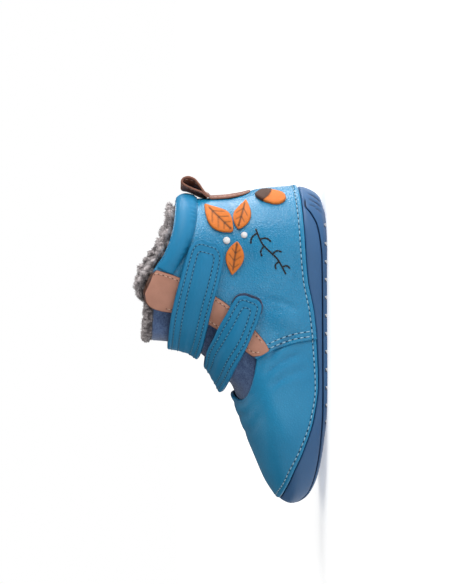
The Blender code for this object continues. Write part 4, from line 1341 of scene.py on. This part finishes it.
def strap_places(table, tip_round, spacing, past_tip=0.0):
    """Distances along a strap, closer together at its two ends."""
    end = path_on_form(table, STRAP_COLUMNS)[2][-1] + past_tip
    middle = np.linspace(0.9, end - tip_round, int(end / spacing))
    tip = end - tip_round * np.linspace(0, 1, 24) ** 2
    return np.unique(np.concatenate(((0, 0.05, 0.2, 0.45), middle, tip))), end


def sewn_share(at):
    """1 at a strap's sewn end, where it settles on the quarter, and 0 further on."""
    return 1 - ease(at / STRAP_SEWN_RUN)


def make_strap(name, table, tip_round, leather, thread, hole_shade):
    """A strap with rounded edges and two rows of stitches along each side."""
    at, end = strap_places(table, tip_round, 0.9)
    turn, level, half = strap_line(table, at, 0)
    half = half - rolled(end - at, tip_round)
    turns, levels = strip_lattice(turn, level, half[:, None] * both_ways(40))
    points = form(turns, levels, STRAP_OUT)
    far = edge_distance(points)
    furrow = sum(bell(far - inset, STRAP_FURROW) for inset in STRAP_ROWS)
    pad = 0.3 * ease((far - 5.8) / 2.4)
    sewn = sewn_share(at)[:, None]
    out = STRAP_OUT - rolled(far, 0.75) - 0.16 * furrow + pad - 0.15 - STRAP_SEWN_DROP * sewn
    inner = STRAP_IN + rolled(far, 0.5) - (STRAP_IN - STRAP_SEWN_IN) * sewn
    # The edge mark: darker along the rolled edges, plus painted shade in the stitch furrows
    marks = {"edge": ease(1 - far / 0.5) + 0.25 * furrow}
    sheet = closed_wall(form(turns, levels, out), form(turns, levels, inner), marks=marks)
    add_piece(f"{name}_leather", sheet, leather, (name,))
    rows = []
    for inset in STRAP_ROWS:
        tip = end - inset
        straight = at[(at > 1.2) & (at < tip - 1)]
        row_at = np.concatenate((straight, tip - 0.9 * np.linspace(1, 0.01, 12) ** 2))
        turn, level, half = strap_line(table, row_at, inset)
        half = half - rolled(tip - row_at, max(tip_round - inset, 1.5))
        row_turns, row_levels = strip_lattice(turn, level, np.stack((-half, half), 1))
        loop_turns = np.concatenate((row_turns[:, 0], row_turns[::-1, 1]))
        loop_levels = np.concatenate((row_levels[:, 0], row_levels[::-1, 1]))
        row_out = STRAP_OUT - 0.1 - STRAP_SEWN_DROP * sewn_share(row_at)
        rows.append(thread_line(loop_turns, loop_levels, np.concatenate((row_out, row_out[::-1]))))
    turn, level, half = strap_line(table, at[:8], STRAP_ROWS[0])
    end_turns, end_levels = strip_lattice(turn, level, half[:, None] * np.linspace(-1, 1, 30))
    end_out = STRAP_OUT - 0.1 - STRAP_SEWN_DROP * sewn_share(at[END_ROW])
    rows.append(thread_line(end_turns[END_ROW], end_levels[END_ROW], end_out))
    stitched(f"{name}_stitches", rows, thread, STRAP_STITCH, hole_shade)


def make_tape(name, table, tip_round, tape, finish):
    """The loop tape on the quarter under a strap's tip, rounded as the tip is."""
    sizes = dict(zip(TAPE_COLUMNS, tape))
    at, end = strap_places(table, tip_round, 0.6, sizes["past_tip"])
    at = at[at > end - sizes["length"]]
    turn, level, half = strap_line(table, at, -sizes["past_side"])
    half = half - rolled(end - at, tip_round + sizes["past_side"])
    turns, levels = strip_lattice(turn, level, half[:, None] * both_ways(30))
    panel(f"{name}_cloth", turns, levels, 0.4, finish, (name,))


# Pull loop

def make_pull_loop(thread):
    """The brown loop and its strip down the heel, stitched along both edges."""
    hug_heights = np.linspace(LOOP_FOOT_HEIGHT, LOOP_START_HEIGHT, LOOP_HUG_ROWS)
    _, hug_levels = spot(0, hug_heights)
    hug_station, _, hug_height = unplace(form(0, hug_levels, OVERLAY_IN + LOOP_THICK / 2))
    hug = np.stack((hug_station, hug_height, np.ones(LOOP_HUG_ROWS), hug_station), 1)
    table = np.concatenate((hug, np.array(LOOP_LINE)))
    knots = np.arange(len(table))
    at = np.linspace(0, len(table) - 1, LOOP_LINE_ROWS)
    line = {name: smooth(knots, column(table, LOOP_COLUMNS, name), at)[:, None] for name in LOOP_COLUMNS}
    height = line["height"]
    grown = ease((height - LOOP_FOOT_HEIGHT) / LOOP_FOOT_RUN)
    thick = LOOP_FOOT_THICK + (LOOP_THICK - LOOP_FOOT_THICK) * grown
    share = both_ways(24)
    inwards = (line["inner_station"] - line["station"]) * (1 + share) / 2
    station = line["station"] + inwards + LOOP_SAG * line["hug"] * share ** 2 + (LOOP_THICK - thick) / 2
    ahead = np.gradient(station, axis=0), np.gradient(height, axis=0)
    size = np.hypot(*ahead)
    side = (LOOP_WIDTH / 2 - rolled(height - LOOP_FOOT_HEIGHT, LOOP_FOOT_ROUND)) * share
    edge = LOOP_WIDTH / 2 * (1 - np.abs(share))
    half = thick / 2 - rolled(edge, 0.35) * thick / LOOP_THICK + 0 * station
    sewn = half - 0.12 * bell(edge - LOOP_ROW, STRAP_FURROW)
    back = place(station - ahead[1] / size * sewn, side, height + ahead[0] / size * sewn)
    front = place(station + ahead[1] / size * half, side, height - ahead[0] / size * half)
    marks = {"edge": ease(1 - edge / 0.5) + 0 * station}
    sheet = closed_wall(back, front, marks=marks)
    add_piece("pull_loop_leather", sheet, brown_leather(), ("pull_loop",))
    rows = []
    normals = unit(back - front)
    for column_number in np.argsort(np.abs(edge - LOOP_ROW))[:2]:
        rows.append((back[LOOP_SEWN_BACK, column_number], normals[LOOP_SEWN_BACK, column_number]))
        rows.append((front[LOOP_SEWN_FRONT, column_number], -normals[LOOP_SEWN_FRONT, column_number]))
    stitched("pull_loop_stitches", rows, thread, LOOP_STITCH)


# Fur

def hairs_at(roots, directions, lengths):
    """Short curled hairs as points, rows and sides, with the share along each hair."""
    count = len(roots)
    share = np.linspace(0, 1, HAIR_ROWS)
    around = np.linspace(0, 2 * np.pi, HAIR_SIDES + 1)
    aside = unit(np.cross(directions, random.normal(size=(count, 3))))
    third = np.cross(directions, aside)
    curl = random.uniform(*HAIR_CURL, count)[:, None] * share
    sway = random.uniform(0.6, 1.2, count)[:, None] * HAIR_BEND * MM
    line = roots[:, None] + directions[:, None] * (lengths[:, None] * share)[..., None]
    line = line + aside[:, None] * (sway * (1 - np.cos(curl)))[..., None]
    line = line + third[:, None] * (sway * np.sin(curl))[..., None]
    thick = HAIR_HALF_THICK * MM * np.ones(HAIR_ROWS)
    thick[[0, -1]] = 0
    ahead = unit(np.gradient(line, axis=1))
    first = unit(np.cross(ahead, third[:, None] + 0.2 * aside[:, None]))
    second = np.cross(ahead, first)
    ring = first[:, :, None] * np.cos(around)[:, None] + second[:, :, None] * np.sin(around)[:, None]
    return line[:, :, None] + ring * thick[:, None, None], share


def add_hairs(sheet, hairs, tips, tints):
    """Hairs joined to a mesh, with their marks."""
    count, rows, columns = hairs.shape[:3]
    cell = np.arange(rows * columns).reshape(rows, columns)
    quads = np.stack((cell[:-1, :-1], cell[:-1, 1:], cell[1:, 1:], cell[1:, :-1]), -1).reshape(-1, 4)
    faces = (np.arange(count)[:, None, None] * rows * columns + quads).reshape(-1, 4)
    mesh = bpy.data.meshes.new("hairs")
    mesh.from_pydata(hairs.reshape(-1, 3), [], faces.tolist())
    for name, values in (("tip", tips[:, :, None]), ("lock", tints[:, None, None])):
        values = np.broadcast_to(values, (count, rows, columns)).astype(np.float32)
        mesh.attributes.new(name, "FLOAT", "POINT").data.foreach_set("value", np.ravel(values))
    joined = bmesh.new()
    joined.from_mesh(mesh)
    bmesh.ops.remove_doubles(joined, verts=joined.verts, dist=MERGE)
    joined.to_mesh(mesh)
    joined.free()
    sheet.from_mesh(mesh)
    bpy.data.meshes.remove(mesh)


def lumps_on(points, area, scale):
    """How far the pile swells at each point, in millimetres, and the tint of the lump there."""
    rise = np.zeros(points.shape[:2])
    tint = np.zeros(points.shape[:2])
    for row in LUMPS:
        sizes = dict(zip(LUMP_COLUMNS, row))
        count = int(sizes["each_mm2"] * area / scale ** 2)
        rows = random.integers(0, points.shape[0], count)
        sides = random.integers(0, points.shape[1], count)
        radii = scale * random.uniform(sizes["least_radius"], sizes["greatest_radius"], count)
        swell = np.zeros_like(rise)
        for middle, radius, shade in zip(points[rows, sides], radii, random.uniform(0, 1, count)):
            far = np.sum((points - middle) ** 2, -1) / (radius * MM) ** 2
            bump = sizes["height_share"] * radius * np.clip(1 - far, 0, None) ** LUMP_POWER
            tint = np.where(bump > swell, shade, tint)
            swell = np.maximum(swell, bump)
        rise = rise + swell
    return rise, tint


def fur_roll(name, centres, across, half_across, half_tall, lean_out, root, finish, nodes):
    """A roll of pile along a line, swollen into lumps and curls and covered with short hairs."""
    run = run_along(centres)
    rows = int(run[-1] / PILE_SPACING)
    at = np.linspace(0, run[-1], rows)
    middle = on_line(at, run, centres)[:, None]
    outward = unit(on_line(at, run, across))[:, None]
    upward = np.array((0, 0, 1))
    around = np.linspace(0, 2 * np.pi, PILE_SIDES + 1)
    cosine = np.cos(around)[:, None]
    sine = np.sin(around)[:, None]
    ends = np.sqrt(1 - np.abs(np.linspace(-1, 1, rows)) ** FUR_END_POWER)[:, None, None]
    leaning = np.interp(at, run, lean_out)[:, None, None]
    scale = half_tall / FUR_HALF_TALL
    room = LUMP_ROOM * scale
    wide = (half_across - room) * cosine + leaning * np.clip(2 * sine * cosine, 0, 1) * (sine > 0)
    tall = (half_tall - room) * sine - root * (sine < 0) * sine ** 2
    points = middle + (outward * wide + upward * tall) * ends * MM
    normals = unit(outward * cosine / half_across + upward * sine / half_tall)
    girth = np.sum(np.linalg.norm(np.diff(points[rows // 2], axis=0), axis=1)) / MM
    rise, tint = lumps_on(points[:, :-1], run[-1] * girth, scale)
    rise = np.concatenate((rise, rise[:, :1]), 1)
    tint = np.concatenate((tint, tint[:, :1]), 1)
    points = points + normals * rise[..., None] * ends * MM
    points[:, -1] = points[:, 0]
    # Painted light on the lumps and on the roll's upper side, painted shade in the crevices between lumps and
    # on its underside
    tip = 0.6 * rise / rise.max() + 0.4 * np.clip(0.5 + 0.5 * sine[:, 0], 0, 1)
    sheet = closed_loft(points, {"tip": tip, "lock": tint})
    count = int(HAIRS_EACH_MM2 * run[-1] * girth)
    row = random.integers(1, rows - 1, count)
    side = random.integers(0, PILE_SIDES, count)
    directions = unit(normals[row, side] + random.normal(0, HAIR_TILT, (count, 3)))
    lengths = random.uniform(*HAIR_LENGTH, count) * scale ** 0.5 * MM
    hairs, share = hairs_at(points[row, side], directions, lengths)
    # Hairs paler towards their own tips, over the painted light and shade of the place they grow from
    tips = np.clip(tip[row, side][:, None] + 0.25 * share - 0.1, 0, 1)
    add_hairs(sheet, hairs, tips, tint[row, side])
    return add_piece(name, sheet, finish, nodes, sharp=False)


def make_fur(finish):
    """The pile above the collar, round the corner of the throat, and along the top of the tongue."""
    end_turn, _ = spot(FUR_END_STATION, FUR_END_HEIGHT)
    turn = np.linspace(0, end_turn, 90)
    corner_turn, corner_level = boundary(THROAT_LINE[:-4:-1], np.linspace(0.2, 1, 12))
    half_turn = np.concatenate((turn, corner_turn))
    half_level = np.concatenate((collar_level(turn), corner_level))
    turn = np.concatenate((-half_turn[:0:-1], half_turn))
    level = np.concatenate((half_level[:0:-1], half_level))
    centres = form(turn, level, FUR_OUT) + (0, 0, FUR_LIFT * MM)
    lean_out = FUR_HEEL_LEAN + (FUR_LEAN - FUR_HEEL_LEAN) * ease(np.abs(turn) / FUR_HEEL_TURN)
    sizes = FUR_HALF_ACROSS, FUR_HALF_TALL, lean_out, 0
    fur_roll("collar_pile", centres, form_normal(turn, level), *sizes, finish, ("fur_collar",))
    turns, levels, inside = tongue_lattice(2, 90)
    turn = turns[-1]
    out = tongue_out(turn, levels[-1], inside[-1]) - TONGUE_THICK / 2
    centres = form(turn, levels[-1], out) + (0, 0, FUR_TONGUE_LIFT * MM)
    sizes = FUR_TONGUE_HALF_ACROSS, FUR_TONGUE_HALF_TALL, np.zeros(len(turn)), FUR_TONGUE_ROOT
    fur_roll("tongue_pile", centres, form_normal(turn, levels[-1]), *sizes, finish, ("fur_tongue",))


# Sewn motifs

def motif_lattice(foot, tip, share, half, columns):
    """Turns, levels, distances across and distances along of a motif between two places on the quarter."""
    stations = foot[0] + share * (tip[0] - foot[0])
    heights = foot[1] + share * (tip[1] - foot[1])
    turn, level = spot(stations, heights)
    across = half[:, None] * both_ways(columns)
    turns, levels = strip_lattice(turn, level, across)
    return turns, levels, across, share[:, None] * np.hypot(*np.subtract(tip, foot))


def make_leaves(finish):
    """Three embroidered leaves with a dark midrib, satin stitches slanting from it."""
    for number, row in enumerate(LEAVES, 1):
        sizes = dict(zip(LEAF_COLUMNS, row))
        share = crowded(60)
        foot = sizes["foot_station"], sizes["foot_height"]
        tip = sizes["tip_station"], sizes["tip_height"]
        half = sizes["width"] / 2 * (0.08 + 0.92 * np.sin(np.pi * share ** 0.9))
        turns, levels, across, run = motif_lattice(foot, tip, share, half, 31)
        rib = bell(across, 0.42) * ease(share * 12)[:, None] * ease((0.93 - share) * 9)[:, None]
        veins = bell((run + 0.9 * np.abs(across)) % 3.4 - 1.7, 0.3)
        veins = veins * ease((half[:, None] - np.abs(across) - 0.9) / 0.6) * (np.abs(across) > 0.3)
        dark = np.clip(rib + 0.85 * veins, 0, 1)
        marks = {"thread": run - 0.55 * np.abs(across), "second": 0 * across, "vein": dark}
        lift = 0.25 * ease((half[:, None] - np.abs(across)) / 1.2) - 0.12 * dark
        node = f"leaf_{number}"
        panel(f"{node}_embroidery", turns, levels, 0.5, finish, (node,), lift, marks)


def make_acorn(finish):
    """An embroidered acorn: a dark ribbed cap over an orange nut."""
    share = crowded(70)
    half = ACORN_WIDTH / 2 * np.sqrt(np.clip(1 - np.abs(1.9 * share - 0.9) ** 2.4, 0.04, 1))
    turns, levels, across, run = motif_lattice(*ACORN, share, half, 35)
    cap = ease((0.43 - share[:, None] - 0.004 * across ** 2) * 40)
    marks = {"thread": run * cap + across * (1 - cap), "second": cap, "vein": 0 * across}
    lift = 0.35 * cap + 0.2 * ease((half[:, None] - np.abs(across)) / 1.2)
    panel("acorn_embroidery", turns, levels, 0.5, finish, ("acorn",), lift, marks)


def make_berries(thread):
    """White knots of thread beside the leaves."""
    sheet = bmesh.new()
    for station, height, radius in BERRIES:
        turn, level = spot(station, height)
        centre = form(turn, level, QUARTER_OUT + 0.2)
        up = form_normal(turn, level)
        aside = unit(np.cross(up, (0, 0, 1)))
        axes = np.array((aside * radius, np.cross(up, aside) * radius, up * 0.6 * radius)) * MM
        add_ball(sheet, centre, axes, 20, 12)
    add_piece("berry_knots", sheet, thread)


def make_twig(thread):
    """A dark embroidered twig with short strokes on both sides."""
    stations, heights = np.transpose(TWIG_STEM)
    share = np.linspace(0, 1, 60)
    knots = np.linspace(0, 1, len(TWIG_STEM))
    stem = np.stack((smooth(knots, stations, share), smooth(knots, heights, share)), 1)
    lines = [stem]
    ahead = unit(np.gradient(stem, axis=0))
    hand = 1
    for place_on_stem in TWIG_STROKES:
        number = int(place_on_stem * 59)
        aside = hand * np.array((-ahead[number][1], ahead[number][0]))
        run = np.linspace(0.08, 1, 12)[:, None] * TWIG_REACH * (1 - 0.5 * place_on_stem)
        bow = TWIG_CURVE * np.sin(np.pi * np.linspace(0, 1, 12))[:, None]
        way = 0.62 * ahead[number] + 0.78 * aside
        lines.append(stem[number] + way * run + (aside - ahead[number]) * bow * 0.5)
        hand = -hand
    rows = []
    for line in lines:
        turns, levels = spot(line[:, 0], line[:, 1])
        relief = leather_relief(turns, levels)
        rows.append(thread_line(turns, levels, QUARTER_OUT + relief + 0.08))
    stitched("twig_embroidery", rows, thread, TWIG_STITCH)


# Stage

def make_stage():
    """A pale floor, a soft world and the lamps."""
    sheet = bmesh.new()
    bmesh.ops.create_grid(sheet, x_segments=1, y_segments=1, size=FLOOR_HALF)
    floor = add_object("floor", sheet)
    floor.data.materials.append(plain_floor())

    world = bpy.data.worlds.new("studio")
    bpy.context.scene.world = world
    world.use_nodes = True
    tree = world.node_tree
    background = tree.nodes["Background"]
    background.inputs["Color"].default_value = (1, 1, 1, 1)
    level = tree.nodes.new("ShaderNodeMapRange")
    level.inputs["To Min"].default_value = WORLD_LIGHT
    level.inputs["To Max"].default_value = 1
    tree.links.new(tree.nodes.new("ShaderNodeLightPath").outputs["Is Camera Ray"], level.inputs["Value"])
    tree.links.new(level.outputs[0], background.inputs["Strength"])
    bpy.context.scene.view_settings.view_transform = "Standard"

    for name, spot_at, size, power in LIGHTS:
        light = bpy.data.lights.new(name, "AREA")
        light.size = size
        light.energy = power
        lamp = bpy.data.objects.new(name, light)
        lamp.location = spot_at
        lamp.rotation_euler = (Vector(LAMP_AIM) - lamp.location).to_track_quat("-Z", "Y").to_euler()
        bpy.context.scene.collection.objects.link(lamp)


def make_camera():
    """The photograph's angle to the boot: from the outer side, rolled so that the heel is up."""
    station = (PHOTO_HEIGHT / 2 - HEEL_PIXEL_Y) / PIXELS_PER_MM
    height = (GROUND_PIXEL_X - PHOTO_WIDTH / 2) / PIXELS_PER_MM
    aim = Vector(place(station, NEAR_SIDE, height))
    flat = np.cos(CAMERA_UP)
    heelward = np.sin(CAMERA_TOWARDS_HEEL) * flat
    outward = -np.cos(CAMERA_TOWARDS_HEEL) * flat
    back = Vector((heelward, outward, np.sin(CAMERA_UP)))
    upward = Vector((1, 0, 0))
    upward = (upward - back * upward.dot(back)).normalized()
    right = upward.cross(back)
    lens = bpy.data.cameras.new("photo_camera")
    lens.sensor_fit = "VERTICAL"
    lens.sensor_height = SENSOR
    lens.lens = PIXELS_PER_MM * SENSOR * CAMERA_DISTANCE / MM / PHOTO_HEIGHT
    lens.clip_start = 0.01
    camera = bpy.data.objects.new("photo_camera", lens)
    turned = Matrix((right, upward, back)).transposed()
    camera.matrix_world = Matrix.Translation(aim + back * CAMERA_DISTANCE) @ turned.to_4x4()
    bpy.context.scene.collection.objects.link(camera)
    bpy.context.scene.camera = camera


def main():
    leather = smooth_leather()
    pale_thread = sewing_thread("pale_blue_thread", (0.30, 0.52, 0.66))
    blue_thread = sewing_thread("blue_thread", (0.09, 0.31, 0.47))
    # Dark finishes used as painted shade of the needle holes
    navy_hole_shade = sewing_thread("navy_hole_shade", (0.008, 0.024, 0.06))
    brown_hole_shade = sewing_thread("brown_hole_shade", (0.10, 0.045, 0.03))
    tan_thread = sewing_thread("tan_thread", (0.62, 0.40, 0.30))
    dark_thread = sewing_thread("dark_thread", (0.012, 0.011, 0.012))
    white_thread = sewing_thread("white_thread", (0.78, 0.77, 0.78))
    pile = curly_pile()
    tape = brushed_felt("navy_tape_loops", (0.010, 0.018, 0.05), (0.05, 0.075, 0.14))
    orange = embroidery("orange_embroidery", (0.74, 0.20, 0.028), (0.030, 0.022, 0.020), (0.05, 0.022, 0.012))
    make_stage()
    make_camera()
    make_sole()
    make_insole()
    make_lining(pile)
    make_upper()
    make_upper_stitches(pale_thread, navy_hole_shade)
    make_tongue()
    make_cuff(leather)
    make_facings(tan_thread, brown_hole_shade)
    make_strap("strap_upper", STRAP_UPPER, STRAP_UPPER_ROUND, leather, blue_thread, navy_hole_shade)
    make_strap("strap_lower", STRAP_LOWER, STRAP_LOWER_ROUND, leather, blue_thread, navy_hole_shade)
    make_tape("loop_tape_upper", STRAP_UPPER, STRAP_UPPER_ROUND, TAPE_UPPER, tape)
    make_tape("loop_tape_lower", STRAP_LOWER, STRAP_LOWER_ROUND, TAPE_LOWER, tape)
    make_pull_loop(tan_thread)
    make_fur(pile)
    make_leaves(orange)
    make_acorn(orange)
    make_berries(white_thread)
    make_twig(dark_thread)


main()
